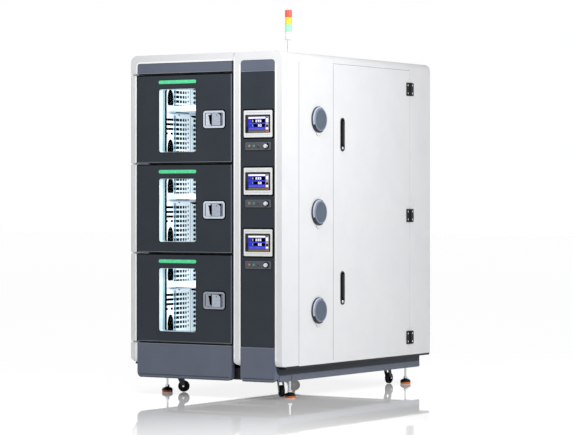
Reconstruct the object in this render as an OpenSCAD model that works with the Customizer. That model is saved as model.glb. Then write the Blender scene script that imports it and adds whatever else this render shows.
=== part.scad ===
// Three-zone environmental test chamber, in millimetres.
// The row frame stands on the floor, under the middle of the bounding box.
// Inside in_cabinet() x runs right from the left side plane, y back from the
// front plane, and z up from the floor.

/* [Body] */
// Overall width over the side covers
body_w = 992; // [900:1:1200]
// Overall depth over the covers
body_d = 1640; // [1580:1:1900]
// Radius of the long top edges
corner_r = 40; // [25:1:44]
// Thickness of the sheet metal covers
sheet_t = 2; // [1.5:0.1:3]
// Gap left at seams between covers
seam = 1.6; // [1:0.1:3]
// Height of the covers' lower edge above the plinth's lower edge
skirt_show = 81; // [60:1:100]
// Inset of the plinth and of the fascia from the side planes
strip_w = 44; // [35:1:50]

/* [Plinth and legs] */
// Height of the plinth's lower edge above the floor
leg_h = 96; // [90:1:120]
// Height of the front plinth
plinth_h = 190; // [180:1:240]
// Radius of the plinth's lower corners
plinth_r = 27; // [10:1:35]
// Diameter of a levelling foot
foot_d = 61; // [50:1:68]
// Diameter of a foot's threaded stem
stem_d = 12; // [10:1:16]
// Diameter of a caster wheel
wheel_d = 64; // [50:1:66]
// Width of a caster wheel
wheel_w = 22; // [16:1:26]
// Height of the wheels above the floor when the feet carry the cabinet
wheel_lift = 1.5; // [1:0.1:4]

/* [Doors] */
// Height of one door
door_h = 484; // [460:1:520]
// Width of the doors with their edge strip
door_w = 670; // [660:1:700]
// Gap above and below each door
door_gap = 9; // [8:0.5:12]
// Thickness of a door leaf
door_t = 62; // [55:1:75]
// Depth of the insulated step behind the leaf
plug_d = 26; // [15:1:35]
// Window width
window_w = 246; // [200:1:300]
// Window height
window_h = 350; // [280:1:355]
// Left edge of the window from the left side plane
window_x = 191; // [150:1:200]
// Height of the window's lower edge above the door's
window_z = 57; // [55:1:70]
// Width of the latch pan's rim
latch_w = 140; // [130:1:150]
// Height of the latch pan's rim
latch_h = 94; // [90:1:110]

/* [Header] */
// Height of the slate band above the doors
band_h = 57; // [40:1:80]
// Height of the light surround along the top
trim_h = 45; // [44:1:60]

/* [Column] */
// Width of the gap between the doors and the column
column_gap = 13.5; // [8:0.5:20]
// Depth of the column's surround
column_d = 173; // [160:1:200]
// Space left beside a touchscreen on the fascia
screen_margin = 19.75; // [10:0.25:30]
// Height of a touchscreen frame
screen_h = 145; // [120:1:160]
// Space left beside a switch plate on the fascia
plate_margin = 28.25; // [20:0.25:35]
// Height of a switch plate
plate_h = 41; // [35:1:55]

/* [Chambers] */
// Clear width inside a chamber
inner_w = 500; // [490:1:510]
// Clear height inside a chamber
inner_h = 424; // [410:1:428]
// Clear depth inside a chamber, from the door seal to the back liner
inner_d = 620; // [580:1:660]
// Share of both side walls' thickness that lies on the left
wall_share = 0.506; // [0.45:0.001:0.55]
// Thickness of the insulated back wall
wall_back = 90; // [60:1:110]
// Thickness of the door seals
seal_t = 8; // [7:0.5:12]
// Distance from the door seal to the duct panel
duct_y = 500; // [450:1:520]

/* [Side] */
// Depth of the panel that carries the ports
port_panel_d = 360; // [340:1:400]
// Width of the service door
service_w = 862; // [800:1:880]
// Distance of the ports from the front plane
port_y = 373; // [300:1:400]
// Bore of a cable port
port_bore = 100; // [80:1:110]
// Diameter of a port cap
cap_d = 126; // [120:1:140]
// Length of a swing handle
handle_l = 186; // [150:1:220]

/* [Tower light] */
// Diameter of the tower's lenses
tower_d = 39; // [30:1:60]
// Height of one coloured lens
lens_h = 39.5; // [25:0.5:50]
// Length of the pole under the tower
pole_l = 71; // [40:1:120]

/* [Hidden] */
$fn = 48;

// Clearances
touch = 0.3;      // between pieces that lie against each other
fit = 0.05;       // radial play of a pin in its bore
over = 1;         // overshoot of cuts

// Colours
light_grey = [0.88, 0.89, 0.90];
graphite = [0.22, 0.24, 0.27];
slate = [0.40, 0.42, 0.48];
black = [0.08, 0.08, 0.09];
steel = [0.75, 0.77, 0.79];
foam = [0.90, 0.88, 0.80];

// Heights
plinth_top = leg_h + plinth_h;
pitch = door_h + door_gap;
band_z = plinth_top + door_gap + 3 * pitch;
trim_z = band_z + band_h;
body_top = trim_z + trim_h;
cover_z = leg_h + skirt_show;
column_plinth_top = plinth_top - 4;

// Depths
land_y = door_t + seal_t;
liner_t = 1.5;
block_d = land_y + inner_d + liner_t + wall_back;
service_y = column_d + port_panel_d;
service_end = service_y + service_w;

// Column
column_x = door_w + column_gap;
fascia_x0 = column_x + strip_w;
fascia_x1 = body_w - strip_w;
fascia_xc = (fascia_x0 + fascia_x1) / 2;
panel_dx = 3;
panel_xc = fascia_xc + panel_dx;
fascia_w = fascia_x1 - fascia_x0;
screen_w = fascia_w - 2 * screen_margin;
plate_w = fascia_w - 2 * plate_margin;
fascia_y = 3;
fascia_t = 3;
screen_z = [1486, 1177, 846];
plate_drop = 120;

// Ports
port_z = [1516, 1009, 471];
flange_d = 144;
flange_t = 8;
cap_t = 12;
tube_t = 4;
spigot_l = 30;
spigot_bore = port_bore + 3;
cap_front = body_w + flange_t + touch + cap_t;

// What stands proud of the body decides where the bounding box's middle is
paddle_proud = 6;
knob_proud = 14;
gland_proud = 24;
front_proud = knob_proud;
x_left = -cap_front / 2;
y_front = (front_proud - body_d - gland_proud) / 2;

// Door n = 1 is the highest
function door_z(n) = plinth_top + door_gap + (3 - n) * pitch;
function chamber_zc(n) = door_z(n) + door_h / 2;

module in_cabinet() {
    translate([x_left, y_front, 0]) children();
}

// A block from its low corner to its high corner
module block(lo, hi) {
    translate(lo) cube(hi - lo);
}

// An outline in x and z, given depth from y0 to y1
module from_front(y0, y1) {
    translate([0, y1, 0]) rotate([90, 0, 0]) linear_extrude(y1 - y0) children();
}

// An outline in y and z, given width from x0 to x1
module from_side(x0, x1) {
    translate([x0, 0, 0]) rotate([90, 0, 90]) linear_extrude(x1 - x0) children();
}

// A rounded rectangle about its middle
module rounded(w, h, r) {
    square([w - 2 * r, h], center = true);
    square([w, h - 2 * r], center = true);
    for (x = [-1, 1], y = [-1, 1])
        translate([x * (w / 2 - r), y * (h / 2 - r)]) circle(r);
}

// A slot with round ends about its middle
module slot(w, h) {
    r = min(w, h) / 2;
    square([max(w - 2 * r, 0.01) , h - (w > h ? 0 : 2 * r)], center = true);
    if (w > h) square([w - 2 * r, h], center = true);
    else square([w, h - 2 * r], center = true);
    for (s = [-1, 1])
        translate(w > h ? [s * (w / 2 - r), 0] : [0, s * (h / 2 - r)]) circle(r);
}

// A pin or tube along y or x
module rod_y(x, z, y0, y1, d) {
    translate([x, y0, z]) rotate([-90, 0, 0]) cylinder(d = d, h = y1 - y0);
}
module rod_x(y, z, x0, x1, d) {
    translate([x0, y, z]) rotate([0, 90, 0]) cylinder(d = d, h = x1 - x0);
}
module rod_z(x, y, z0, z1, d) {
    translate([x, y, z0]) cylinder(d = d, h = z1 - z0);
}

// A square tube between two corners, closed at its ends
module hollow(lo, hi, t) {
    difference() {
        block(lo, hi);
        block(lo + [t, t, t], hi - [t, t, t]);
    }
}

// The cross-section of the body, rounded at the top, drawn in by inset
module arch(inset) {
    low = cover_z - over;
    translate([inset, low]) square([body_w - 2 * inset, body_top - corner_r - low]);
    translate([corner_r, low]) square([body_w - 2 * corner_r, body_top - inset - low]);
    for (x = [corner_r, body_w - corner_r])
        translate([x, body_top - corner_r]) circle(corner_r - inset);
}

module arch_skin() {
    difference() {
        arch(0);
        arch(sheet_t);
    }
}

// Base frame
rail_w = 60;
rail_wall = 3;
rail_z = leg_h + 6;
sill_t = 12;
sill_z = cover_z - sill_t;
inset_x = strip_w + sheet_t + touch;
tray_d = 30;
front_t = 3;
post_w = 40;
beam_z = trim_z - post_w;
foot_inset = 90;
caster_dx = 75;
caster_dy = [23, 82];
foot_x = [body_w - foot_inset, foot_inset];
foot_y = [225, body_d - 136];
caster_x = [foot_x[0] - caster_dx, foot_x[1] + caster_dx];
caster_y = [foot_y[0] + caster_dy[0], foot_y[1] - caster_dy[1]];
deck_t = 3;
deck_z = sill_z + touch + deck_t;
sill_back = body_d - 25;
king_d = 10;
rear_inset = 50;
gap_plate_y = 100;
mid_post_y = service_y - 5 - post_w;
rear_post_y = service_end + 4;
inner_face = sheet_t + touch;

// Corner k: 1 front right, 2 front left, 3 rear right, 4 rear left
function corner_x(list, k) = list[(k - 1) % 2];
function corner_y(list, k) = list[k < 3 ? 0 : 1];

// Members stand 0.3 mm apart, so that each one is a simple solid
module base_frame() color(black) in_cabinet() {
    rail_x0 = foot_x[1] - rail_w / 2;
    rail_x1 = foot_x[0] + rail_w / 2;
    // Long rails with bosses for the feet
    difference() {
        union() {
            for (x = foot_x)
                hollow([x - rail_w / 2, tray_d + touch, rail_z],
                       [x + rail_w / 2, body_d - rear_inset - 6, sill_z], rail_wall);
            for (k = [1:4])
                rod_z(corner_x(foot_x, k), corner_y(foot_y, k), rail_z, sill_z, 2 * stem_d);
        }
        for (k = [1:4])
            rod_z(corner_x(foot_x, k), corner_y(foot_y, k), rail_z - over, sill_z - rail_wall,
                  stem_d + 2 * fit);
    }
    // Cross rails, two of them bored for the casters' king pins
    difference() {
        for (y = concat(caster_y, [tray_d + touch + 30, block_d - 40]))
            hollow([rail_x0 + rail_w + touch, y - 30, rail_z],
                   [rail_x1 - rail_w - touch, y + 30, sill_z], rail_wall);
        for (k = [1:4])
            rod_z(corner_x(caster_x, k), corner_y(caster_y, k), rail_z - over,
                  rail_z + rail_wall + over, king_d + 2 * fit);
    }
    // Brackets that hold the plinths
    for (x = [[strip_w + 2 * plinth_r, door_w - 2 * plinth_r],
              [fascia_x0 + plinth_r, fascia_x1 - plinth_r]])
        block([x[0], front_t + touch, rail_z + 15], [x[1], tray_d, rail_z + 45]);
    // Dark plate that closes the gap beside the column
    block([door_w + touch, gap_plate_y, sill_z + touch],
          [column_x - touch, gap_plate_y + 3, trim_z - touch]);
    // Sills that carry the side covers and posts
    block([inner_face, 42, sill_z + touch], [rail_x0 + rail_w, sill_back - touch, cover_z]);
    block([rail_x1 - rail_w, 42, sill_z + touch], [body_w - inner_face, sill_back - touch, cover_z]);
    block([inner_face, sill_back, sill_z + touch], [body_w - inner_face, body_d - 5, cover_z]);
    // Risers under the insulated chambers
    hollow([rail_x0, land_y + 5, cover_z + touch], [rail_x0 + rail_w, block_d - 5, plinth_top], rail_wall);
    hollow([door_w - rail_w, land_y + 5, sill_z + touch], [door_w, block_d - 5, plinth_top], rail_wall);
    // Floor of the machine bay
    block([rail_x0 + rail_w + touch, block_d - 8, sill_z + touch],
          [rail_x1 - rail_w - touch, sill_back - touch, deck_z]);
    // Posts and top beams
    for (p = [[inner_face, mid_post_y, band_z + touch], [inner_face, rear_post_y, cover_z + touch],
              [body_w - inner_face - post_w, rear_post_y, cover_z + touch],
              [body_w - inner_face - post_w, mid_post_y, cover_z + touch]])
        hollow(p, [p[0] + post_w, p[1] + post_w, beam_z - touch], sheet_t);
    for (y = [mid_post_y, rear_post_y]) {
        hollow([inner_face, y, beam_z], [body_w - inner_face, y + post_w, trim_z - touch], sheet_t);
        for (x = [0.3, 0.7] * body_w)
            hollow([x, y, trim_z], [x + post_w, y + post_w, body_top - sheet_t - touch], sheet_t);
    }
}

// A plinth tray, open at the back, with rounded lower corners
module plinth_outline(x0, x1, z1, inset) {
    r = plinth_r - inset;
    lo = leg_h + inset;
    translate([x0 + inset, lo + r]) square([x1 - x0 - 2 * inset, z1 - inset - lo - r]);
    translate([x0 + inset + r, lo]) square([x1 - x0 - 2 * inset - 2 * r, z1 - inset - lo]);
    for (x = [x0 + plinth_r, x1 - plinth_r])
        translate([x, lo + r]) circle(r);
}

module plinth_tray(x0, x1, z1, depth) {
    difference() {
        from_front(0, depth) plinth_outline(x0, x1, z1, 0);
        from_front(front_t, depth + over) plinth_outline(x0, x1, z1, sheet_t);
    }
}

module side_skirt(x) {
    r = plinth_r;
    y0 = tray_d + seam;
    y1 = body_d - rear_inset;
    from_side(x, x + inset_x - strip_w) {
        translate([y0, leg_h + r]) square([y1 - y0, sill_z - leg_h - r]);
        translate([y0, leg_h]) square([y1 - y0 - r, sill_z - leg_h]);
        translate([y1 - r, leg_h + r]) circle(r);
    }
}

module plinth_skirts() {
    plinth_tray(strip_w, door_w, plinth_top, tray_d);
    plinth_tray(fascia_x0, fascia_x1, column_plinth_top, tray_d);
    side_skirt(strip_w);
    side_skirt(body_w - inset_x);
    block([inset_x + touch, body_d - rear_inset - 3, leg_h + 10],
          [body_w - inset_x - touch, body_d - rear_inset, sill_z]);
}

// Width of a side cover's turn over the top edge
wrap_w = 52;
flange_w = 18;

module right_cover(y0, y1) {
    intersection() {
        from_front(y0, y1) arch_skin();
        block([body_w - wrap_w, y0, cover_z], [body_w + over, y1, body_top + over]);
    }
}

trim_face_t = 30;
toe_r = 28;
toe_z = cover_z + 3;
toe_d = 30;

// A lower end of the light frame, rounded back along its lower front edge
module toe_profile(y1, z1) {
    translate([toe_r, toe_z]) square([y1 - toe_r, toe_r]);
    translate([0, toe_z + toe_r]) square([y1, z1 - toe_z - toe_r]);
    translate([toe_r, toe_z + toe_r]) circle(toe_r);
}

module side_covers() color(light_grey) in_cabinet() {
    // Left cover, which ends in the light corner below the doors
    block([0, land_y, cover_z], [sheet_t, body_d, trim_z - seam]);
    block([0, trim_face_t + touch, band_z + touch], [sheet_t, land_y - touch, trim_z - seam]);
    block([0, toe_d - over, toe_z], [sheet_t, land_y - touch, plinth_top]);
    intersection() {
        from_front(0, toe_d) {
            translate([0, toe_z + toe_r]) square([strip_w - touch, plinth_top - toe_z - toe_r]);
            translate([toe_r, toe_z]) square([strip_w - touch - toe_r, toe_r]);
            translate([toe_r, toe_z + toe_r]) circle(toe_r);
        }
        from_side(-over, strip_w) toe_profile(land_y, plinth_top + over);
    }
    right_cover(service_end + seam / 2, body_d);
}

// Right panel with holes behind the flanges of the port tubes
port_hole_d = flange_d - 16;

module port_panel() color(light_grey) in_cabinet()
    difference() {
        right_cover(column_d + seam, service_y - seam / 2);
        for (z = port_z)
            rod_x(port_y, z, body_w - 2 * sheet_t, body_w + over, port_hole_d);
    }

// The light frame above the doors, seen from the front
module header_trim_outline() {
    difference() {
        intersection() {
            arch(0);
            translate([0, band_z]) square([column_x - seam / 2, trim_z + trim_h]);
        }
        translate([strip_w + 14, band_z - over]) square([body_w, band_h + over]);
        translate([strip_w, band_z - over]) square([body_w, band_h + over - 14]);
        translate([strip_w + 14, trim_z - 14]) circle(14);
    }
}

module top_cover() color(light_grey) in_cabinet() {
    from_front(0, trim_face_t) header_trim_outline();
    intersection() {
        from_front(trim_face_t, column_d + seam) arch_skin();
        block([-over, 0, trim_z], [column_x - seam / 2, column_d + seam, body_top + over]);
    }
    difference() {
        intersection() {
            from_front(column_d + seam, body_d) arch_skin();
            block([-over, 0, trim_z], [body_w + over, body_d + over, body_top + over]);
        }
        for (y = [[column_d, service_y - seam / 2], [service_end + seam / 2, body_d + over]])
            block([body_w - wrap_w - seam, y[0], trim_z - over],
                  [body_w + over, y[1] , body_top + over]);
    }
}

louvre_w = 320;
louvre_h = 9;
louvre_pitch = 28;
louvre_z = [320, 1180];
gland_d = 40;
gland_x = 820;
gland_z = 360;

module rear_cover() color(light_grey) in_cabinet() {
    y1 = body_d - sheet_t;
    difference() {
        intersection() {
            from_front(y1 - sheet_t, y1) arch(sheet_t + touch);
            block([0, 0, cover_z + touch], [body_w, body_d, body_top]);
        }
        for (x = [0.28, 0.72] * body_w, k = [0:11], z = louvre_z)
            from_front(y1 - sheet_t - over, y1 + over)
                translate([x, z + louvre_pitch * k]) slot(louvre_w, louvre_h);
        rod_y(gland_x, gland_z, y1 - sheet_t - over, y1 + over, gland_d - 10);
    }
    // Supply cable gland
    difference() {
        union() {
            rod_y(gland_x, gland_z, y1 + touch, y1 + 8, gland_d);
            rod_y(gland_x, gland_z, y1 - sheet_t - 10, y1 + 8, gland_d - 10 - 2 * touch);
            rod_y(gland_x, gland_z, y1 + 8, body_d + gland_proud, gland_d - 8);
        }
        rod_y(gland_x, gland_z, y1 - sheet_t - 10 - over, body_d + gland_proud + over, 20);
    }
}

surround_inner_r = 20;
surround_face_t = 40;

// The column's light surround, seen from the front, drawn in by inset
module surround_outline(inset) {
    r = toe_r - inset;
    rc = corner_r - inset;
    lo = toe_z + inset;
    x0 = column_x + inset;
    x1 = body_w - inset;
    z1 = body_top - inset;
    translate([x0 + r, lo]) square([x1 - x0 - r, r]);
    translate([x0, lo + r]) square([x1 - x0, z1 - lo - r - rc]);
    translate([x0 + r, z1 - rc - over]) square([x1 - x0 - r - rc, rc + over]);
    translate([x0, z1 - rc - over]) square([r, rc - r + over]);
    for (z = [lo + r, z1 - r]) translate([x0 + r, z]) circle(r);
    translate([x1 - rc, z1 - rc]) circle(rc);
}

module column_surround() color(light_grey) in_cabinet() {
    difference() {
        intersection() {
            from_front(0, surround_face_t) surround_outline(0);
            from_side(column_x - over, body_w + over) toe_profile(column_d, body_top + over);
        }
        from_front(-over, surround_face_t + over) {
            translate([fascia_x0, 0]) square([fascia_x1 - fascia_x0, trim_z - surround_inner_r]);
            translate([fascia_x0 + surround_inner_r, 0])
                square([fascia_x1 - fascia_x0 - 2 * surround_inner_r, trim_z]);
            for (x = [fascia_x0 + surround_inner_r, fascia_x1 - surround_inner_r])
                translate([x, trim_z - surround_inner_r]) circle(surround_inner_r);
        }
    }
    difference() {
        from_front(surround_face_t, column_d) surround_outline(0);
        from_front(surround_face_t - over, column_d + over) surround_outline(sheet_t);
        block([column_x + 30, 0, 0], [body_w - 30, column_d + over, cover_z + 20]);
        // Room for the sills
        block([0, 0, 0], [body_w - sheet_t, column_d + over, cover_z + 25]);
    }
}

lamp_dx = [-0.335, -0.159, 0.006] * plate_w;
knob_dx = 0.317 * plate_w;
lamp_d = 15;
lamp_stem_d = 10;
housing_w = screen_w - 26;
housing_h = 112;
housing_d = 45;

module column_fascia() color(graphite) in_cabinet() {
    difference() {
        block([fascia_x0 + touch, fascia_y, column_plinth_top + touch],
              [fascia_x1 - touch, fascia_y + fascia_t, column_band_z - touch]);
        for (z = screen_z) {
            from_front(0, fascia_y + fascia_t + over) translate([panel_xc, z])
                square([housing_w + 2 * touch, housing_h + 2 * touch], center = true);
            for (dx = concat(lamp_dx, [knob_dx]))
                rod_y(panel_xc + dx, z - plate_drop, 0, fascia_y + fascia_t + over, 14);
        }
    }
    // Folded edges that hold the fascia inside its surround
    for (x = [fascia_x0 + touch, fascia_x1 - touch - 2])
        block([x, fascia_y + fascia_t, column_plinth_top + touch],
              [x + 2, surround_face_t, column_band_z - touch]);
}

column_band_z = band_z - 6;
band_r = 14;

module slate_panels() color(slate) in_cabinet() {
    plinth_skirts();
    header_bands();
}

module header_bands() {
    x0 = strip_w + touch;
    z1 = trim_z - touch;
    from_front(2, trim_face_t) {
        translate([x0, band_z]) square([door_w - x0, z1 - band_r - band_z]);
        translate([x0 + band_r, band_z]) square([door_w - x0 - band_r, z1 - band_z]);
        translate([x0 + band_r, z1 - band_r]) circle(band_r);
    }
    r = surround_inner_r;
    c0 = fascia_x0 + touch;
    c1 = fascia_x1 - touch;
    from_front(2, trim_face_t) {
        translate([c0, column_band_z]) square([c1 - c0, z1 - r - column_band_z]);
        translate([c0 + r, column_band_z]) square([c1 - c0 - 2 * r, z1 - column_band_z]);
        for (x = [c0 + r, c1 - r]) translate([x, z1 - r]) circle(r);
    }
}

// Clear space of chamber n, made larger by g on the walls, floor and ceiling
side_walls = door_w - inner_w;
wall_left = wall_share * side_walls;
wall_right = side_walls - wall_left;
chamber_x0 = wall_left;
chamber_x1 = wall_left + inner_w;
module chamber_space(n, g, y0, y1) {
    zc = chamber_zc(n);
    block([chamber_x0 - g, y0, zc - inner_h / 2 - g], [chamber_x1 + g, y1, zc + inner_h / 2 + g]);
}

shaft_hole_d = 30;
fan_dz = 75;
fan_xc = wall_left + inner_w / 2;

module insulated_walls() color(foam) in_cabinet() {
    g = liner_t;
    y1 = land_y + inner_d + g;
    block([sheet_t, land_y, plinth_top], [chamber_x0 - g, block_d, band_z]);
    difference() {
        block([chamber_x1 + g, land_y, plinth_top], [door_w, block_d, band_z]);
        for (z = port_z)
            rod_x(port_y, z, chamber_x1, door_w + over, port_bore + 2 * tube_t + 2 * touch);
    }
    difference() {
        block([chamber_x0 - g + touch, y1, plinth_top], [chamber_x1 + g - touch, block_d, band_z]);
        for (n = [1:3])
            rod_y(fan_xc, chamber_zc(n) + fan_dz, y1 - over, block_d + over, shaft_hole_d);
    }
    // Decks under, between and above the chambers
    levels = concat([plinth_top],
                    [for (n = [3, 2, 1], s = [-1, 1]) chamber_zc(n) + s * (inner_h / 2 + g)],
                    [band_z]);
    for (k = [0:3])
        block([chamber_x0 - g + touch, land_y, levels[2 * k]],
              [chamber_x1 + g - touch, y1 - touch, levels[2 * k + 1]]);
}

rack_w = 24;
rack_t = 2;
rack_lead = 100;
rack_back = 74;
rack_y = [rack_lead, duct_y - rack_back];
rack_foot = 6;
shelf_z = 80;
shelf_t = 2;
shelf_lip = 29;
shelf_front = 165;
rail_size = [10, 14];

module chamber_liners() color(steel) in_cabinet()
    for (n = [1:3]) {
        zc = chamber_zc(n);
        difference() {
            chamber_space(n, liner_t, land_y, land_y + inner_d + liner_t);
            chamber_space(n, 0, land_y - over, land_y + inner_d);
            rod_x(port_y, port_z[n - 1], chamber_x1 - over, chamber_x1 + 2 * liner_t,
                  port_bore + 2 * tube_t + 2 * touch);
            rod_y(fan_xc, zc + fan_dz, land_y, block_d, shaft_hole_d);
        }
        // Slotted shelf posts joined by a rail on each side
        for (s = [0, 1]) {
            x = s == 0 ? chamber_x0 + touch : chamber_x1 - touch - rack_t;
            for (y = rack_y)
                difference() {
                    block([x, land_y + y - rack_w / 2, zc - inner_h / 2 + rack_foot],
                          [x + rack_t, land_y + y + rack_w / 2, zc + inner_h / 2 - rack_foot]);
                    for (k = [-6:6])
                        if (abs(k) > 0)
                            rod_x(land_y + y, zc + 26 * k, x - over, x + rack_t + over, 9);
                }
            // The rail between them carries the side of the shelf
            xr = s == 0 ? x + rack_t : x - rail_size[0];
            z1 = zc + shelf_z - shelf_lip;
            block([xr, land_y + rack_y[0] - rack_w / 2, z1 - rail_size[1]],
                  [xr + rail_size[0], land_y + rack_y[1] + rack_w / 2, z1]);
        }
    }

module duct_panels() color(steel) in_cabinet()
    for (n = [1:3])
        translate([fan_xc, 0, chamber_zc(n)])
            from_front(land_y + duct_y, land_y + duct_y + sheet_t)
                difference() {
                    square([inner_w - 2 * touch, inner_h - 2 * touch], center = true);
                    for (i = [-4:4], j = [-5:5])
                        translate([50 * i, 30 * j]) slot(32, 10);
                }

coil_h = 90;
coil_w = inner_w - 60;
fin_pitch = coil_w / 22;
coil_d = 70;
fan_d = 210;
fan_h = 60;
fan_y = land_y + duct_y + 25;
fan_shaft_d = 10;
motor_d = 120;
motor_l = 110;

module air_units() color(steel) in_cabinet()
    for (n = [1:3]) {
        zc = chamber_zc(n);
        back = land_y + inner_d;
        z0 = zc - inner_h / 2;
        // Evaporator block on the floor of the plenum
        difference() {
            block([fan_xc - coil_w / 2, back - touch - coil_d, z0 + touch],
                  [fan_xc + coil_w / 2, back - touch, z0 + touch + coil_h]);
            for (k = [-10:10])
                block([fan_xc + fin_pitch * k - 3, back - coil_d - over, z0 + 12],
                      [fan_xc + fin_pitch * k + 3, back - coil_d + 12, z0 + coil_h - 10]);
        }
        // Heater rods between two end brackets above the evaporator
        for (x = [-1, 1] * (coil_w / 2 - 10))
            block([fan_xc + x - 2, back - touch - coil_d, z0 + 2 * touch + coil_h],
                  [fan_xc + x + 2, back - touch, z0 + coil_h + 30]);
        for (k = [0:2])
            rod_x(back - 14 - 22 * k, z0 + coil_h + 18, fan_xc - coil_w / 2 + 8,
                  fan_xc + coil_w / 2 - 8, 8);
        // Fan motor outside the back wall
        difference() {
            union() {
                rod_y(fan_xc, zc + fan_dz, block_d, block_d + motor_l, motor_d);
                block([fan_xc - 75, block_d, zc + fan_dz - 75],
                      [fan_xc + 75, block_d + 6, zc + fan_dz + 75]);
            }
            rod_y(fan_xc, zc + fan_dz, block_d - over, block_d + 50, fan_shaft_d + 2 * fit);
        }
    }

module circulation_fan(n) color(steel) in_cabinet()
    translate([fan_xc, fan_y, chamber_zc(n) + fan_dz]) {
        rod_y(0, 0, fan_h - 3, fan_h, fan_d);
        rod_y(0, 0, 20, fan_h, 44);
        rod_y(0, 0, 20, block_d + 45 - fan_y, fan_shaft_d);
        for (a = [0:30:330])
            rotate([0, a, 0])
                block([fan_d / 2 - 24, 8, -1], [fan_d / 2, fan_h - 2, 1]);
    }

module shelves() color(steel) in_cabinet()
    for (n = [1:3]) {
        zc = chamber_zc(n);
        x0 = chamber_x0 + touch + rack_t + touch;
        x1 = chamber_x1 - touch - rack_t - touch;
        y0 = land_y + shelf_front;
        y1 = land_y + duct_y - 12;
        z0 = zc + shelf_z;
        difference() {
            block([x0, y0, z0], [x1, y1, z0 + shelf_t]);
            for (i = [-4:4], j = [0:4])
                rod_z(fan_xc + 48 * i, y0 + 40 + 52 * j, z0 - over, z0 + shelf_t + over, 30);
        }
        // Folded lip along the front and the sides
        block([x0, y0, z0 - shelf_lip], [x1, y0 + 2, z0]);
        for (x = [x0, x1 - 2])
            block([x, y0 + 2, z0 - shelf_lip], [x + 2, y1, z0]);
    }

seal_w = 26;

module door_seals() color([0.85, 0.85, 0.83]) in_cabinet()
    for (n = [1:3])
        difference() {
            chamber_space(n, seal_w, door_t + touch, land_y);
            chamber_space(n, 2, 0, land_y + over);
        }

pivot = [22, 22];
pivot_d = 12;
pivot_len = 20;
plate_t = door_gap - 4;
wide_plate = 117;
short_plate = 46;
strike_x = chamber_x1 + seal_w + 0.413 * (wall_right - seal_w);
strike_w = 0.345 * (wall_right - seal_w);

// Service hinges: the pin stands outside the face, on the seam
hinge_z = [1721, 987, 278];
hinge_h = 76;
hinge_w = 80;
knuckle_d = 12;
hinge_pin_d = 6;
service_axis = [body_w + knuckle_d / 2 + 0.5, service_end];
leaf_t = 5;

module fixed_hinges() color("white") in_cabinet() {
    // Pivot plates and pins of the chamber doors
    for (g = [0:3]) {
        z = plinth_top + door_gap / 2 + g * pitch;
        x1 = (g == 0 || g == 3) ? short_plate : wide_plate;
        block([4, 8, z - plate_t / 2], [x1, land_y, z + plate_t / 2]);
        if (g > 0)
            rod_z(pivot[0], pivot[1], z - plate_t / 2 - pivot_len, z, pivot_d);
        if (g < 3)
            rod_z(pivot[0], pivot[1], z, z + plate_t / 2 + pivot_len, pivot_d);
    }
    // Strikes for the door latches
    for (n = [1:3])
        block([strike_x, door_t + 2, chamber_zc(n) - 25],
              [strike_x + strike_w, land_y, chamber_zc(n) + 25]);
    // Fixed leaves of the service hinges with their pins
    for (z = hinge_z) {
        h = hinge_h / 3;
        block([body_w, service_axis[1] + knuckle_d / 2 + 1, z - hinge_h / 2],
              [body_w + leaf_t, service_axis[1] + hinge_w / 2, z + hinge_h / 2]);
        block([body_w + 0.5, service_axis[1], z - h / 2 + touch],
              [body_w + leaf_t, service_axis[1] + knuckle_d / 2 + 2, z + h / 2 - touch]);
        rod_z(service_axis[0], service_axis[1], z - h / 2 + touch, z + h / 2 - touch, knuckle_d);
        rod_z(service_axis[0], service_axis[1], z - hinge_h / 2, z + hinge_h / 2, hinge_pin_d);
    }
}

display_w = screen_w - 24;
display_h = 100;

module touchscreens() color("white") in_cabinet()
    for (z = screen_z)
        translate([panel_xc, 0, z]) {
            difference() {
                union() {
                    from_front(-2, fascia_y) rounded(screen_w, screen_h, 5);
                    from_front(fascia_y, fascia_y + housing_d)
                        square([housing_w, housing_h], center = true);
                }
                from_front(-2 - over, 1) rounded(display_w + 2 * touch, display_h + 2 * touch, 2);
            }
            from_front(-1, 1) rounded(display_w, display_h, 2);
        }

knob_w = 17;
knob_shaft_d = 8;

module switch_plates() color(slate) in_cabinet()
    for (z = screen_z)
        translate([panel_xc, 0, z - plate_drop]) {
            difference() {
                union() {
                    from_front(1, fascia_y) rounded(plate_w, plate_h, 3);
                    rod_y(knob_dx, 0, fascia_y, fascia_y + 18, 13);
                }
                for (dx = lamp_dx)
                    rod_y(dx, 0, 0, fascia_y + over, lamp_stem_d + 2 * touch);
                rod_y(knob_dx, 0, 0, fascia_y + 20, knob_shaft_d + 2 * fit);
            }
            for (dx = lamp_dx) {
                rod_y(dx, 0, -3, 1, lamp_d);
                rod_y(dx, 0, 1, fascia_y + 20, lamp_stem_d);
            }
        }

module selector_knob(n) color("white") in_cabinet()
    translate([panel_xc + knob_dx, 0, screen_z[n - 1] - plate_drop]) {
        from_front(-knob_proud, 0.5) rotate(45) rounded(knob_w, knob_w, 2);
        rod_y(0, 0, 0.5, fascia_y + 17, knob_shaft_d);
    }

module port_tubes() color(slate) in_cabinet()
    for (z = port_z)
        difference() {
            union() {
                rod_x(port_y, z, chamber_x1, body_w + flange_t, port_bore + 2 * tube_t);
                rod_x(port_y, z, body_w, body_w + flange_t, flange_d);
                rod_x(port_y, z - flange_d / 2 + 6, body_w, body_w + 3, 44);
            }
            rod_x(port_y, z, chamber_x1 - over, body_w + flange_t + over, port_bore);
            rod_x(port_y, z, body_w + flange_t - spigot_l - 2, body_w + flange_t + over, spigot_bore);
        }

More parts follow.
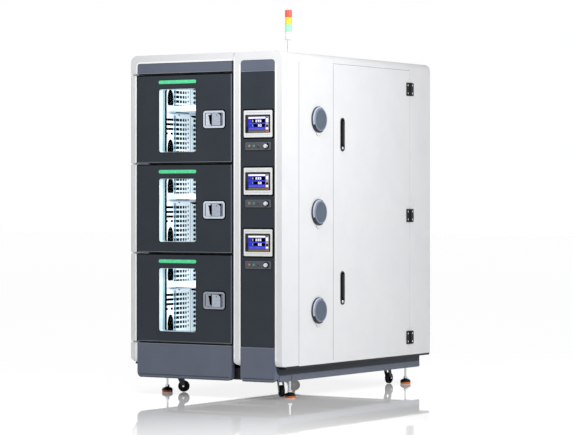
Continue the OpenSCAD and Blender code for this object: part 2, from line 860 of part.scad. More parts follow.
module port_cap(n) color(slate) in_cabinet() {
    z = port_z[n - 1];
    x0 = body_w + flange_t + touch;
    difference() {
        union() {
            rod_x(port_y, z, x0, x0 + cap_t - 3, cap_d);
            rod_x(port_y, z, x0 + cap_t - 3, cap_front, cap_d - 6);
            rod_x(port_y, z, x0 - spigot_l, x0, spigot_bore - 2 * touch);
        }
        rod_x(port_y, z, x0 - spigot_l - over, x0, spigot_bore - 10);
        for (a = [0:30:330])
            translate([0, port_y, z]) rotate([a, 0, 0])
                rod_x(cap_d / 2 + 3, 0, x0 - over, cap_front + over, 14);
    }
}

comp_d = 190;
comp_h = 290;
comp_x = 700;
comp_lead = 178.5;
comp_pitch = 270;
comp_dome = 50;
comp_y = [block_d + comp_lead, block_d + comp_lead + comp_pitch];

// A hermetic compressor: shell, feet and terminal box
module compressors() color(black) in_cabinet() {
    z0 = deck_z;
    for (y = comp_y) {
        translate([comp_x, y, z0 + 22]) rotate_extrude() {
            square([comp_d / 2, comp_h - comp_dome]);
            translate([0, comp_h - comp_dome]) square([comp_d / 2 - comp_dome, comp_dome]);
            intersection() {
                translate([comp_d / 2 - comp_dome, comp_h - comp_dome]) circle(comp_dome);
                translate([0, comp_h - comp_dome - 1]) square([comp_d, 1.2 * comp_dome]);
            }
        }
        for (a = [30, 150, 270])
            translate([comp_x, y, z0]) rotate(a) {
                block([comp_d / 2 - 12, -20, 18], [comp_d / 2 + 24, 20, 22]);
                rod_z(comp_d / 2 + 8, 0, 0, 22, 28);
            }
        rod_z(comp_x, y, z0 + 18, z0 + 22, comp_d - 10);
        block([comp_x + comp_d / 2 - 10, y - 35, z0 + 130],
              [comp_x + comp_d / 2 + 40, y + 35, z0 + 210]);
    }
}

cond_x = [140, 560];
cond_back = 110;
cond_y = body_d - cond_back;
cond_h = 420;
cond_fan_d = 300;
cond_d = 60;
shroud_l = 70;
cond_motor_d = 70;
cond_motor_l = 30;
fan_hub_d = 60;
fan_hub_y = [-66, -33];

module condenser() color(steel) in_cabinet() {
    z0 = deck_z;
    xc = (cond_x[0] + cond_x[1]) / 2;
    zc = z0 + cond_h / 2;
    difference() {
        block([cond_x[0], cond_y, z0], [cond_x[1], cond_y + cond_d, z0 + cond_h]);
        for (k = [-9:9])
            block([xc + 21 * k - 4, cond_y + cond_d - 12, z0 + 15],
                  [xc + 21 * k + 4, cond_y + cond_d + over, z0 + cond_h - 15]);
    }
    // Shroud ring with a motor on a cross bar
    difference() {
        from_front(cond_y - shroud_l, cond_y)
            translate([xc, zc]) square([cond_x[1] - cond_x[0], cond_h], center = true);
        rod_y(xc, zc, cond_y - shroud_l - over, cond_y + over, cond_fan_d + 20);
    }
    difference() {
        union() {
            block([xc - cond_fan_d / 2 - 15, cond_y - 8, zc - 15],
                  [xc + cond_fan_d / 2 + 15, cond_y, zc + 15]);
            rod_y(xc, zc, cond_y - cond_motor_l, cond_y, cond_motor_d);
        }
        rod_y(xc, zc, cond_y - cond_motor_l - over, cond_y - 5, fan_shaft_d + 2 * fit);
    }
}

module condenser_fan() color(black) in_cabinet() {
    xc = (cond_x[0] + cond_x[1]) / 2;
    zc = deck_z + cond_h / 2;
    translate([xc, cond_y, zc]) {
        rod_y(0, 0, fan_hub_y[0], fan_hub_y[1], fan_hub_d);
        rod_y(0, 0, -40, -6, fan_shaft_d);
        for (a = [0:72:288])
            rotate([0, a, 0])
                translate([cond_fan_d / 4, -49, 0]) rotate([25, 0, 0])
                    block([-cond_fan_d / 4 + 20, -1.5, -28], [cond_fan_d / 4 - 3, 1.5, 28]);
    }
}

board_y = [service_y + 20, block_d - 15];
board_z = [880, 1700];
din_z = [980, 1180, 1380, 1580];
contactor_w = 50;
contactor_h = 80;
contactor_d = 70;
contactor_pitch = 62;
rail_h = 34;

module electrical_plate() color(steel) in_cabinet() {
    x0 = door_w + touch;
    block([x0, board_y[0], board_z[0]], [x0 + 3, board_y[1], board_z[1]]);
    for (z = din_z) {
        block([x0 + 3, board_y[0] + 10, z - rail_h / 2], [x0 + 10, board_y[1] - 10, z + rail_h / 2]);
        for (k = [0:2]) {
            y = board_y[0] + 18 + contactor_pitch * k;
            block([x0 + 10, y, z - contactor_h / 2],
                  [x0 + 10 + contactor_d, y + contactor_w, z + contactor_h / 2]);
        }
    }
}

tower_inset = 100;
tower_x = body_w - tower_inset;
tower_y = 226;
tower_flange_d = 44;
tower_flange_t = 6;
pole_d = 12;
tower_base_h = 45;

module tower_light() color("white") in_cabinet() {
    translate([tower_x, tower_y, body_top]) {
        rod_z(0, 0, 0, tower_flange_t, tower_flange_d);
        rod_z(0, 0, tower_flange_t, pole_l, pole_d);
        rod_z(0, 0, pole_l, pole_l + tower_base_h, tower_d);
        for (k = [0:2])
            rod_z(0, 0, pole_l + tower_base_h + lens_h * k, pole_l + tower_base_h + lens_h * (k + 1),
                  tower_d);
    }
}

bar_w = 251;
bar_h = 21;
bar_drop = 40;
bar_depth = 6;
pan_wall = 3;
pan_depth = 36;
pan_rim = 9;
window_r = 14;
latch_x = 487;
latch_dz = -8;
latch_r = 16;
plug_gap = 8;
pane_t = 6;
glazing_gap = 0.3;

module at_latch(n) {
    translate([latch_x + latch_w / 2, 0, chamber_zc(n) + latch_dz]) children();
}

module at_bar(n) {
    translate([window_x + window_w / 2, 0, door_z(n) + door_h - bar_drop]) children();
}

module at_window(n) {
    translate([window_x + window_w / 2, 0, door_z(n) + window_z + window_h / 2]) children();
}

// The hole in the plug is wider all round, and holds the inner pane
window_step = 12;

module door_leaf(n) color(graphite) in_cabinet() {
    z0 = door_z(n);
    z1 = z0 + door_h;
    plug_g = -plug_gap;
    difference() {
        union() {
            translate([door_w / 2, door_t / 2, z0]) linear_extrude(door_h)
                rounded(door_w, door_t, 5);
            chamber_space(n, plug_g, door_t - over, door_t + plug_d);
        }
        at_window(n) from_front(-over, door_t + plug_d + over) rounded(window_w, window_h, window_r);
        at_window(n) from_front(door_t, door_t + plug_d + over)
            rounded(window_w + 2 * window_step, window_h + 2 * window_step, window_r + window_step);
        at_bar(n) from_front(-over, bar_depth) slot(bar_w, bar_h);
        at_latch(n) from_front(-over, pan_depth + touch)
            rounded(latch_w - 2 * pan_rim + 2 * touch, latch_h - 2 * pan_rim + 2 * touch,
                    latch_r - pan_rim);
        for (z = [z0 - over, z1 - pivot_len])
            rod_z(pivot[0], pivot[1], z, z + pivot_len + over, pivot_d + 2 * fit);
    }
}

module door_glazing(n) color([0.7, 0.85, 0.9, 0.4]) in_cabinet() {
    g = 2 * glazing_gap;
    at_window(n) for (p = [[2, 0], [door_t + plug_d - pane_t - 2, window_step]])
        from_front(p[0], p[0] + pane_t)
            rounded(window_w + 2 * p[1] - g, window_h + 2 * p[1] - g, window_r + p[1] - glazing_gap);
    color([0.4, 0.96, 0.67])
        at_bar(n) from_front(-1, bar_depth - touch) slot(bar_w - g, bar_h - g);
}

paddle_w = 61;
paddle_pin_d = 6;
paddle_barrel_d = 10;
paddle_axis_dx = latch_w / 2 - 22;
paddle_axis_y = 8;
rim_proud = 3;

module door_latch_pan(n) color([0.85, 0.87, 0.9]) in_cabinet() at_latch(n) {
    iw = latch_w - 2 * pan_rim - 2 * pan_wall;
    ih = latch_h - 2 * pan_rim - 2 * pan_wall;
    difference() {
        union() {
            from_front(-rim_proud, -0.01) rounded(latch_w, latch_h, latch_r);
            from_front(-0.02, pan_depth) rounded(latch_w - 2 * pan_rim, latch_h - 2 * pan_rim,
                                                 latch_r - pan_rim);
        }
        from_front(-rim_proud - over, pan_depth - pan_wall) rounded(iw, ih, 6);
    }
    // Sloping floor that leads fingers behind the paddle
    translate([0, 0, -ih / 2 - 0.5]) linear_extrude(ih + 1)
        polygon([[-iw / 2 - 0.5, 2], [-iw / 2 - 0.5, pan_depth - 2],
                 [paddle_axis_dx - paddle_w - 9, pan_depth - 2]]);
    rod_z(paddle_axis_dx, paddle_axis_y, -ih / 2 - 1, ih / 2 + 1, paddle_pin_d);
}

module latch_paddle(n) color([0.8, 0.82, 0.86]) in_cabinet() at_latch(n) {
    ih = latch_h - 2 * pan_rim - 2 * pan_wall;
    difference() {
        union() {
            block([paddle_axis_dx - paddle_w, -rim_proud, -ih / 2 + 2],
                  [paddle_axis_dx + 2, 2, ih / 2 - 2]);
            block([paddle_axis_dx - 5, 0, -ih / 2 + 2], [paddle_axis_dx, paddle_axis_y, ih / 2 - 2]);
            rod_z(paddle_axis_dx, paddle_axis_y, -ih / 2 + 2, ih / 2 - 2, paddle_barrel_d);
        }
        rod_z(paddle_axis_dx, paddle_axis_y, -latch_h, latch_h, paddle_pin_d + 2 * fit);
    }
}

handle_y = 630;
handle_z = [1440, 587];
dish_w = 42;
dish_t = 4;
dish_depth = 22;

module service_door() color(light_grey) in_cabinet() {
    y0 = service_y + seam / 2;
    y1 = service_end - seam / 2;
    z1 = trim_z - seam;
    difference() {
        block([body_w - flange_w - sheet_t, y0, cover_z + touch], [body_w, y1, z1]);
        block([body_w - flange_w - sheet_t - over, y0 + sheet_t, cover_z + touch + sheet_t],
              [body_w - sheet_t, y1 - sheet_t, z1 - sheet_t]);
        for (z = handle_z)
            translate([0, handle_y, z]) from_side(body_w - 2 * sheet_t, body_w + over)
                slot(dish_w - 8 + 2 * touch, handle_l - 8 + 2 * touch);
    }
}

lever_w = 24;
lever_top = handle_l / 2 - 17;
lever_low = -handle_l / 2 + 33;
lever_pin_d = 5;
lever_axis_dz = lever_top - lever_w / 2;
lever_axis_x = body_w - 6;

module service_door_fittings() color(black) in_cabinet() {
    // Dishes of the swing handles
    for (z = handle_z) translate([0, handle_y, z]) {
        difference() {
            union() {
                from_side(body_w, body_w + dish_t) slot(dish_w, handle_l);
                from_side(body_w - dish_depth, body_w + 0.01) slot(dish_w - 8, handle_l - 8);
            }
            from_side(body_w - dish_depth + 3, body_w + dish_t + over) slot(dish_w - 14, handle_l - 14);
        }
        rod_y(lever_axis_x, lever_axis_dz, -dish_w / 2 + 5, dish_w / 2 - 5, lever_pin_d);
        // Lock cylinder below the lever
        rod_x(0, -handle_l / 2 + 18, body_w - dish_depth + 2, body_w + 3, 15);
    }
    // Moving leaves of the hinges
    for (z = hinge_z) {
        h = hinge_h / 3;
        difference() {
            union() {
                block([body_w, service_axis[1] - hinge_w / 2, z - hinge_h / 2],
                      [body_w + leaf_t, service_axis[1] - knuckle_d / 2 - 1, z + hinge_h / 2]);
                for (s = [-1, 1]) {
                    zk = z + s * h;
                    block([body_w + 0.5, service_axis[1] - knuckle_d / 2 - 2, zk - h / 2],
                          [body_w + leaf_t, service_axis[1], zk + h / 2]);
                    rod_z(service_axis[0], service_axis[1], zk - h / 2, zk + h / 2, knuckle_d);
                }
            }
            rod_z(service_axis[0], service_axis[1], z - hinge_h, z + hinge_h,
                  hinge_pin_d + 2 * fit);
        }
    }
}

module swing_handle(n) color(black) in_cabinet()
    translate([0, handle_y, handle_z[n - 1]]) difference() {
        union() {
            // The grip stops above the lock cylinder
            from_side(body_w + 1, body_w + 9) translate([0, (lever_top + lever_low) / 2])
                slot(lever_w, lever_top - lever_low);
            rod_y(lever_axis_x, lever_axis_dz, -lever_w / 2, lever_w / 2, 12);
            block([lever_axis_x - 1, -lever_w / 2, lever_axis_dz - 6],
                  [body_w + 2, lever_w / 2, lever_axis_dz + 6]);
        }
        rod_y(lever_axis_x, lever_axis_dz, -lever_w, lever_w, lever_pin_d + 2 * fit);
    }

// Casters: swivel about z, wheel about the fork's axle
caster_yaw = [-40, 25, 90, 25];
trail = 18;
axle_d = 8;
fork_t = 2.5;
crown_z = leg_h - 12;
axle_z = wheel_d / 2 + wheel_lift;

module at_caster(k) {
    translate([corner_x(caster_x, k), corner_y(caster_y, k), 0]) rotate(caster_yaw[k - 1]) children();
}

module caster_fork(k) color(steel) in_cabinet() at_caster(k) {
    hw = wheel_w / 2 + 2;
    // Crown, king pin and legs
    rod_z(0, 0, crown_z, crown_z + 9, 42);
    rod_z(0, 0, crown_z + 9, rail_z - touch, 34);
    rod_z(0, 0, rail_z - over, rail_z + rail_wall + 9, king_d);
    block([-20, -hw - fork_t, crown_z - 3], [20, hw + fork_t, crown_z + 3]);
    for (s = [-1, 1])
        translate([0, s * (hw + fork_t / 2) - fork_t / 2, 0]) difference() {
            from_front(0, fork_t) polygon([[-18, crown_z], [16, crown_z], [trail + 10, axle_z + 4],
                                           [trail + 8, axle_z - 8], [trail - 8, axle_z - 8]]);
        }
    rod_y(trail, axle_z, -hw - fork_t - 2, hw + fork_t + 2, axle_d);
}

module caster_wheel(k) color(black) in_cabinet() at_caster(k)
    difference() {
        union() {
            rod_y(trail, axle_z, -wheel_w / 2 + 2, wheel_w / 2 - 2, wheel_d);
            rod_y(trail, axle_z, -wheel_w / 2, wheel_w / 2, wheel_d - 8);
        }
        rod_y(trail, axle_z, -wheel_w, wheel_w, axle_d + 2 * fit);
    }

module levelling_foot(k) color(steel) in_cabinet()
    translate([corner_x(foot_x, k), corner_y(foot_y, k), 0]) {
        rotate_extrude() {
            square([foot_d / 2 - 1, 10]);
            translate([0, 10]) square([foot_d / 2, 7]);
            translate([0, 17]) polygon([[0, 0], [foot_d / 2, 0], [foot_d / 2 - 6, 8],
                                        [stem_d, 13], [0, 13]]);
        }
        rod_z(0, 0, 28, sill_z - rail_wall - 4, stem_d);
        translate([0, 0, 30]) cylinder(d = 26, h = 11, $fn = 6);
    }

base_frame();
slate_panels();
side_covers();
port_panel();
top_cover();
rear_cover();
column_surround();
column_fascia();
insulated_walls();
chamber_liners();
duct_panels();
air_units();
shelves();
door_seals();
fixed_hinges();
touchscreens();
switch_plates();
port_tubes();
compressors();
condenser();
electrical_plate();
tower_light();
door_leaf(1);  // door_1_leaf
door_leaf(2);  // door_2_leaf
door_leaf(3);  // door_3_leaf
door_glazing(1);  // door_1_glazing
door_glazing(2);  // door_2_glazing
door_glazing(3);  // door_3_glazing
door_latch_pan(1);  // door_1_latch_pan
door_latch_pan(2);  // door_2_latch_pan
door_latch_pan(3);  // door_3_latch_pan
latch_paddle(1);  // latch_paddle_1
latch_paddle(2);  // latch_paddle_2
latch_paddle(3);  // latch_paddle_3
selector_knob(1);  // selector_knob_1
selector_knob(2);  // selector_knob_2
selector_knob(3);  // selector_knob_3
port_cap(1);  // port_cap_1
port_cap(2);  // port_cap_2
port_cap(3);  // port_cap_3
circulation_fan(1);  // circulation_fan_1
circulation_fan(2);  // circulation_fan_2
circulation_fan(3);  // circulation_fan_3
condenser_fan();
service_door();
service_door_fittings();
swing_handle(1);  // swing_handle_1
swing_handle(2);  // swing_handle_2
caster_fork(1);  // caster_fork_1
caster_fork(2);  // caster_fork_2
caster_fork(3);  // caster_fork_3
caster_fork(4);  // caster_fork_4
caster_wheel(1);  // caster_wheel_1
caster_wheel(2);  // caster_wheel_2
caster_wheel(3);  // caster_wheel_3
caster_wheel(4);  // caster_wheel_4
levelling_foot(1);  // levelling_foot_1
levelling_foot(2);  // levelling_foot_2
levelling_foot(3);  // levelling_foot_3
levelling_foot(4);  // levelling_foot_4
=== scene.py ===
"""Looks of a three-zone environmental test chamber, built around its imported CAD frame.

Lengths are in cabinet millimetres: x runs right from the left side plane, y runs
back from the front plane and z runs up from the floor.
"""

import logging
import math
from dataclasses import dataclass, field
from enum import Enum
from typing import Any, Iterable, Optional, Sequence

import bmesh
import bpy
from mathutils import Matrix, Vector


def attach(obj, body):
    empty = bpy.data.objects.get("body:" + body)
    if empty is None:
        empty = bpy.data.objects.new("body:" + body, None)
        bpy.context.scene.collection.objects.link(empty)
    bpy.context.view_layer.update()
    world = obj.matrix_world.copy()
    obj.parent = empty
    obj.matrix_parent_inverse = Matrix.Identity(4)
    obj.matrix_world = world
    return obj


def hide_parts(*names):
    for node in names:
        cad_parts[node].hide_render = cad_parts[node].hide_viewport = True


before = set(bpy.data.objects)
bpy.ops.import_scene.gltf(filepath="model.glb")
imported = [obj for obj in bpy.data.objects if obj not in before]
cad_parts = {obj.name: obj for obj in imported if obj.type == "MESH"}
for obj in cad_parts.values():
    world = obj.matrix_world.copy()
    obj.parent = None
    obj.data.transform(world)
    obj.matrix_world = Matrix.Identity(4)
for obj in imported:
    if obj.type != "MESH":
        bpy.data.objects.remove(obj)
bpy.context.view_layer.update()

log = logging.getLogger("test_chamber")

Point2 = tuple[float, float]
Outline = list[Point2]
Socket = bpy.types.NodeSocket

# The row frame's origin in cabinet millimetres
ORIGIN_X = 506.15
ORIGIN_Y = 825.0

# Sizes that the CAD source gives the cabinet
BODY_W = 992.0
BODY_D = 1640.0
PLINTH_TOP = 286.0
DOOR_GAP = 9.0
DOOR_W = 670.0
DOOR_H = 484.0
DOOR_T = 62.0
PITCH = DOOR_H + DOOR_GAP
BAND_Z = PLINTH_TOP + DOOR_GAP + 3 * PITCH
TRIM_Z = BAND_Z + 57.0
BODY_TOP = TRIM_Z + 45.0
STRIP_W = 44.0
COLUMN_X = 683.5
FASCIA_X0 = 727.5
FASCIA_X1 = 948.0
PANEL_XC = (FASCIA_X0 + FASCIA_X1) / 2 + 3.0

WHITE = (1.0, 1.0, 1.0, 1.0)
SMOOTH_DEG = 35.0


def zone_bottom(number: int) -> float:
    """Gives the height of a door's foot; door 1 is the top one."""
    return PLINTH_TOP + DOOR_GAP + (3 - number) * PITCH


def place(x: float, y: float, z: float) -> Vector:
    """Turns cabinet millimetres into the row frame's metres."""
    return Vector(((x - ORIGIN_X) / 1000, (y - ORIGIN_Y) / 1000, z / 1000))


def linear(colour: str) -> tuple[float, float, float, float]:
    """Turns an sRGB hex colour into linear RGBA.

    Args:
        colour: A hash and six hex digits.

    Returns:
        Linear red, green and blue, and an alpha of one.
    """
    parts = [int(colour[i : i + 2], 16) / 255 for i in (1, 3, 5)]
    r, g, b = (c / 12.92 if c <= 0.04045 else ((c + 0.055) / 1.055) ** 2.4 for c in parts)
    return (r, g, b, 1.0)


def link(obj: bpy.types.Object) -> None:
    """Puts an object into the scene."""
    bpy.context.scene.collection.objects.link(obj)


def empty_tree(owner: Any) -> bpy.types.NodeTree:
    """Clears the node tree of a material or world.

    Args:
        owner: The material or world.

    Returns:
        The empty tree.
    """
    owner.use_nodes = True
    owner.node_tree.nodes.clear()
    return owner.node_tree


def add_node(
    tree: bpy.types.NodeTree, kind: str, inputs: Optional[dict[Any, Any]] = None, **settings: Any
) -> bpy.types.Node:
    """Adds one shader node with its settings, values and links.

    Args:
        tree: The node tree that gets the node.
        kind: The node's type name after ShaderNode.
        inputs: Socket name or number to a value, or to a socket to link from.
        settings: Attributes of the node itself.

    Returns:
        The new node.
    """
    node = tree.nodes.new(f"ShaderNode{kind}")
    for name, value in settings.items():
        setattr(node, name, value)
    for name, value in (inputs or {}).items():
        if isinstance(value, Socket):
            tree.links.new(value, node.inputs[name])
        else:
            node.inputs[name].default_value = value
    return node


def mixed(tree: bpy.types.NodeTree, factor: Socket, first: Socket, second: Socket) -> Socket:
    """Mixes two shaders by a factor."""
    return add_node(tree, "MixShader", {0: factor, 1: first, 2: second}).outputs["Shader"]


class Surface:
    """A Principled material in the making; its noises have grains of real size."""

    # Noise values at which a colour or roughness reaches its low and its high end
    NOISE_SPAN = (0.3, 0.7)

    def __init__(self, name: str, **inputs: float) -> None:
        """Starts the material.

        Args:
            name: The material's name.
            inputs: Values of the Principled node, spaces written as underscores.
        """
        self.material = bpy.data.materials.new(name)
        self.tree = empty_tree(self.material)
        values = {key.replace("_", " "): value for key, value in inputs.items()}
        self.shader = add_node(self.tree, "BsdfPrincipled", values)
        add_node(self.tree, "OutputMaterial", {"Surface": self.shader.outputs["BSDF"]})

    def grain(self, size_mm: float, stretch: Sequence[float] = (1, 1, 1), detail: float = 2.0) -> Socket:
        """Adds noise.

        Args:
            size_mm: Size of one grain.
            stretch: How much finer the grain is along x, y and z.
            detail: Number of finer layers.

        Returns:
            The noise value's socket.
        """
        spot = add_node(self.tree, "TexCoord").outputs["Object"]
        scale = [s * 1000 / size_mm for s in stretch]
        scaled = add_node(self.tree, "Mapping", {"Vector": spot, "Scale": scale}).outputs["Vector"]
        noise = {"Vector": scaled, "Scale": 1.0, "Detail": detail, "Roughness": 0.55}
        return add_node(self.tree, "TexNoise", noise).outputs["Fac"]

    def tint(self, value: Socket, low: str, high: str, inputs: Sequence[str] = ("Base Color",)) -> None:
        """Spreads a noise value between two close colours.

        Args:
            value: The noise value.
            low: Colour where the noise is low.
            high: Colour where it is high.
            inputs: The Principled inputs that get the colour.
        """
        ramp = add_node(self.tree, "ValToRGB", {"Fac": value})
        for element, position, colour in zip(ramp.color_ramp.elements, self.NOISE_SPAN, (low, high)):
            element.position = position
            element.color = linear(colour)
        for name in inputs:
            self.tree.links.new(ramp.outputs["Color"], self.shader.inputs[name])

    def rough(self, value: Socket, low: float, high: float) -> None:
        """Spreads the roughness between two numbers.

        Args:
            value: The noise value.
            low: Roughness where the noise is low.
            high: Roughness where it is high.
        """
        start, end = self.NOISE_SPAN
        spans = {"Value": value, "From Min": start, "From Max": end, "To Min": low, "To Max": high}
        spread = add_node(self.tree, "MapRange", spans)
        self.tree.links.new(spread.outputs["Result"], self.shader.inputs["Roughness"])

    def relief(self, height: Socket, depth_mm: float) -> None:
        """Gives the surface relief.

        Args:
            height: The height's socket.
            depth_mm: Height of the relief.
        """
        values = {"Height": height, "Distance": depth_mm / 1000, "Strength": 1.0}
        bump = add_node(self.tree, "Bump", values)
        self.tree.links.new(bump.outputs["Normal"], self.shader.inputs["Normal"])


@dataclass(frozen=True)
class Finish:
    """What all finishes have: a name and two close colours that a noise mixes."""

    name: str
    colour: str
    shade: str

    def material(self) -> bpy.types.Material:
        """Makes the material."""
        raise NotImplementedError


@dataclass(frozen=True)
class PowderCoat(Finish):
    """Polyester powder coat, sprayed and baked: a fine orange peel that softens highlights."""

    roughness: float = 0.42
    gloss: float = 0.5
    cloud_mm: float = 140.0
    peel_mm: float = 2.4
    peel_depth_mm: float = 0.02

    def material(self) -> bpy.types.Material:
        """Makes the material.

        Returns:
            The new material.
        """
        surface = Surface(self.name, IOR=1.5, Specular_IOR_Level=self.gloss)
        surface.tint(surface.grain(self.cloud_mm, detail=3), self.shade, self.colour)
        peel = surface.grain(self.peel_mm)
        surface.rough(peel, self.roughness - 0.04, self.roughness + 0.05)
        surface.relief(peel, self.peel_depth_mm)
        return surface.material


class Brushing(Enum):
    """Direction in which a metal sheet was brushed."""

    ACROSS = (1.0, 30.0, 30.0)
    UPRIGHT = (30.0, 30.0, 1.0)


@dataclass(frozen=True)
class BrushedMetal(Finish):
    """Stainless sheet, brushed one way: long fine scratches that stretch its highlights."""

    brushing: Brushing
    roughness: float = 0.3
    stroke_mm: float = 40.0
    stroke_depth_mm: float = 0.01

    def material(self) -> bpy.types.Material:
        """Makes the material.

        Returns:
            The new material.
        """
        surface = Surface(self.name, Metallic=1.0)
        strokes = surface.grain(self.stroke_mm, self.brushing.value)
        surface.tint(strokes, self.shade, self.colour)
        surface.rough(strokes, self.roughness - 0.06, self.roughness + 0.08)
        surface.relief(strokes, self.stroke_depth_mm)
        return surface.material


@dataclass(frozen=True)
class BrightMetal(Finish):
    """Chrome or zinc plating, polished: sharp reflections with faint cloudiness."""

    roughness: float = 0.12
    cloud_mm: float = 6.0

    def material(self) -> bpy.types.Material:
        """Makes the material.

        Returns:
            The new material.
        """
        surface = Surface(self.name, Metallic=1.0)
        cloud = surface.grain(self.cloud_mm)
        surface.tint(cloud, self.shade, self.colour)
        surface.rough(cloud, self.roughness * 0.8, self.roughness * 1.4)
        return surface.material


@dataclass(frozen=True)
class MouldedPlastic(Finish):
    """Injection-moulded ABS or nylon: a spark-eroded grain, finer where it is glossy."""

    roughness: float = 0.4
    grain_mm: float = 1.2
    depth_mm: float = 0.015
    gloss: float = 0.5
    cloud_mm: float = 25.0

    def material(self) -> bpy.types.Material:
        """Makes the material.

        Returns:
            The new material.
        """
        surface = Surface(self.name, IOR=1.49, Specular_IOR_Level=self.gloss)
        surface.tint(surface.grain(self.cloud_mm, detail=3), self.shade, self.colour)
        skin = surface.grain(self.grain_mm)
        surface.rough(skin, self.roughness - 0.05, self.roughness + 0.06)
        surface.relief(skin, self.depth_mm)
        return surface.material


@dataclass(frozen=True)
class Pane(Finish):
    """Toughened float glass: clear, faintly green, with mirror-like surfaces."""

    alpha: float = 0.05
    ripple_mm: float = 120.0

    def material(self) -> bpy.types.Material:
        """Makes the material.

        Returns:
            The new material.
        """
        surface = Surface(self.name, Alpha=self.alpha, IOR=1.52)
        ripple = surface.grain(self.ripple_mm)
        surface.tint(ripple, self.shade, self.colour)
        surface.rough(ripple, 0.02, 0.04)
        return surface.material


@dataclass(frozen=True)
class LitLens(Finish):
    """Tinted polycarbonate over a lamp: an even glow, a little deeper where the wall is thick."""

    glow: float
    roughness: float = 0.25
    cloud_mm: float = 18.0

    def material(self) -> bpy.types.Material:
        """Makes the material.

        Returns:
            The new material.
        """
        surface = Surface(self.name, Emission_Strength=self.glow, IOR=1.58)
        cloud = surface.grain(self.cloud_mm)
        surface.tint(cloud, self.shade, self.colour, ("Base Color", "Emission Color"))
        surface.rough(cloud, self.roughness - 0.03, self.roughness + 0.04)
        return surface.material


@dataclass(frozen=True)
class Elastomer(Finish):
    """Rubber or silicone, moulded: dull, with a faint dusty mottle."""

    roughness: float = 0.7
    dust_mm: float = 9.0
    skin_mm: float = 1.4
    skin_depth_mm: float = 0.02

    def material(self) -> bpy.types.Material:
        """Makes the material.

        Returns:
            The new material.
        """
        surface = Surface(self.name, IOR=1.5)
        dust = surface.grain(self.dust_mm, detail=4)
        surface.tint(dust, self.shade, self.colour)
        surface.rough(dust, self.roughness - 0.08, self.roughness + 0.08)
        surface.relief(surface.grain(self.skin_mm), self.skin_depth_mm)
        return surface.material


@dataclass(frozen=True)
class RigidFoam(Finish):
    """Polyurethane foam board: pale yellow, with small open cells."""

    cell_mm: float = 3.5
    cell_depth_mm: float = 0.3

    def material(self) -> bpy.types.Material:
        """Makes the material.

        Returns:
            The new material.
        """
        surface = Surface(self.name, Roughness=0.9)
        cells = surface.grain(self.cell_mm, detail=3)
        surface.tint(cells, self.shade, self.colour)
        surface.relief(cells, self.cell_depth_mm)
        return surface.material


LIGHT_COAT = PowderCoat("light_grey_powder_coat", "#e1e2e4", "#dddee1", gloss=0.3)
# Whiter coat of the raised beads: a painted highlight on their rounded edges.
BEAD_HIGHLIGHT = PowderCoat("white_bead_highlight_coat", "#fbfcfd", "#f5f6f8", roughness=0.3)
GRAPHITE_COAT = PowderCoat("graphite_powder_coat", "#31373f", "#2d333b", roughness=0.5, gloss=0.22)
SLATE_COAT = PowderCoat("slate_powder_coat", "#626978", "#5d6473", roughness=0.45, gloss=0.3)
SHADED_SLATE = PowderCoat("shaded_slate_coat", "#30353e", "#2b3039", roughness=0.5, gloss=0.15)
# Painted shade on the plinths' rolled lower edges.
ROLL_SHADE = PowderCoat("painted_roll_shade_coat", "#434955", "#3e444f", roughness=0.45, gloss=0.2)
# Painted shade in the side seams and along the lower edge of the ports' tabs.
SEAM_SHADE = PowderCoat("seam_shade_coat", "#8e9194", "#888b8e", roughness=0.5, gloss=0.1)
BLACK_COAT = PowderCoat("black_frame_paint", "#131416", "#0f1012", roughness=0.38, gloss=0.25)
WHITE_ENAMEL = PowderCoat("white_hinge_enamel", "#e9ebec", "#e3e5e7", roughness=0.3)
# Pale lines along the edges of doors, bands and plinths: painted highlights.
EDGE_HIGHLIGHT = PowderCoat("painted_edge_highlight_coat", "#8b919c", "#7c828e", roughness=0.35)
LINER_STEEL = BrushedMetal("bright_annealed_liner", "#e6eef2", "#d3dfe6", Brushing.UPRIGHT, 0.34)
DUCT_WHITE = PowderCoat("white_duct_enamel", "#eef6f9", "#e2eff5", roughness=0.3)
RUNNER_GREY = PowderCoat("lavender_runner_enamel", "#b3bfd4", "#a9b6cc", roughness=0.35)
SEAM_GREY = PowderCoat("grey_seam_strip", "#9aa3aa", "#8f989f", roughness=0.4)
DUCT_STEEL = BrushedMetal("brushed_duct_sheet", "#e3ebef", "#d0dbe2", Brushing.ACROSS, 0.36)
PADDLE_STEEL = BrushedMetal("brushed_paddle_steel", "#c9d1e0", "#b4bdce", Brushing.ACROSS, 0.26, 25)
MILL_ALUMINIUM = BrushedMetal("mill_finish_aluminium", "#c9cccf", "#b6babe", Brushing.ACROSS, 0.4)
CHROME = BrightMetal("polished_chrome", "#d9e0ec", "#cbd3e0", 0.07)
ZINC = BrightMetal("bright_zinc_plate", "#c7cbd0", "#b4b9bf", 0.22)
BLACK_ZINC = BrightMetal("black_zinc_plate", "#34373c", "#26292d", 0.2)
SCREW_STEEL = BrightMetal("stainless_screw", "#dfe1e4", "#c4c8cc", 0.18)
WHITE_ABS = MouldedPlastic("white_abs", "#eceded", "#e5e6e7", 0.3)
SLATE_NYLON = MouldedPlastic("slate_nylon", "#566271", "#515c6b", 0.45, gloss=0.3)
PORT_RIM = MouldedPlastic("port_rim_polymer", "#7d8499", "#767d92", 0.35)
# Dark polymer of the port's flange bead, also painted shade on the lower half of its collar.
PORT_DARK_AND_SHADE = MouldedPlastic("port_dark_and_painted_shade", "#161a20", "#101318", 0.25)
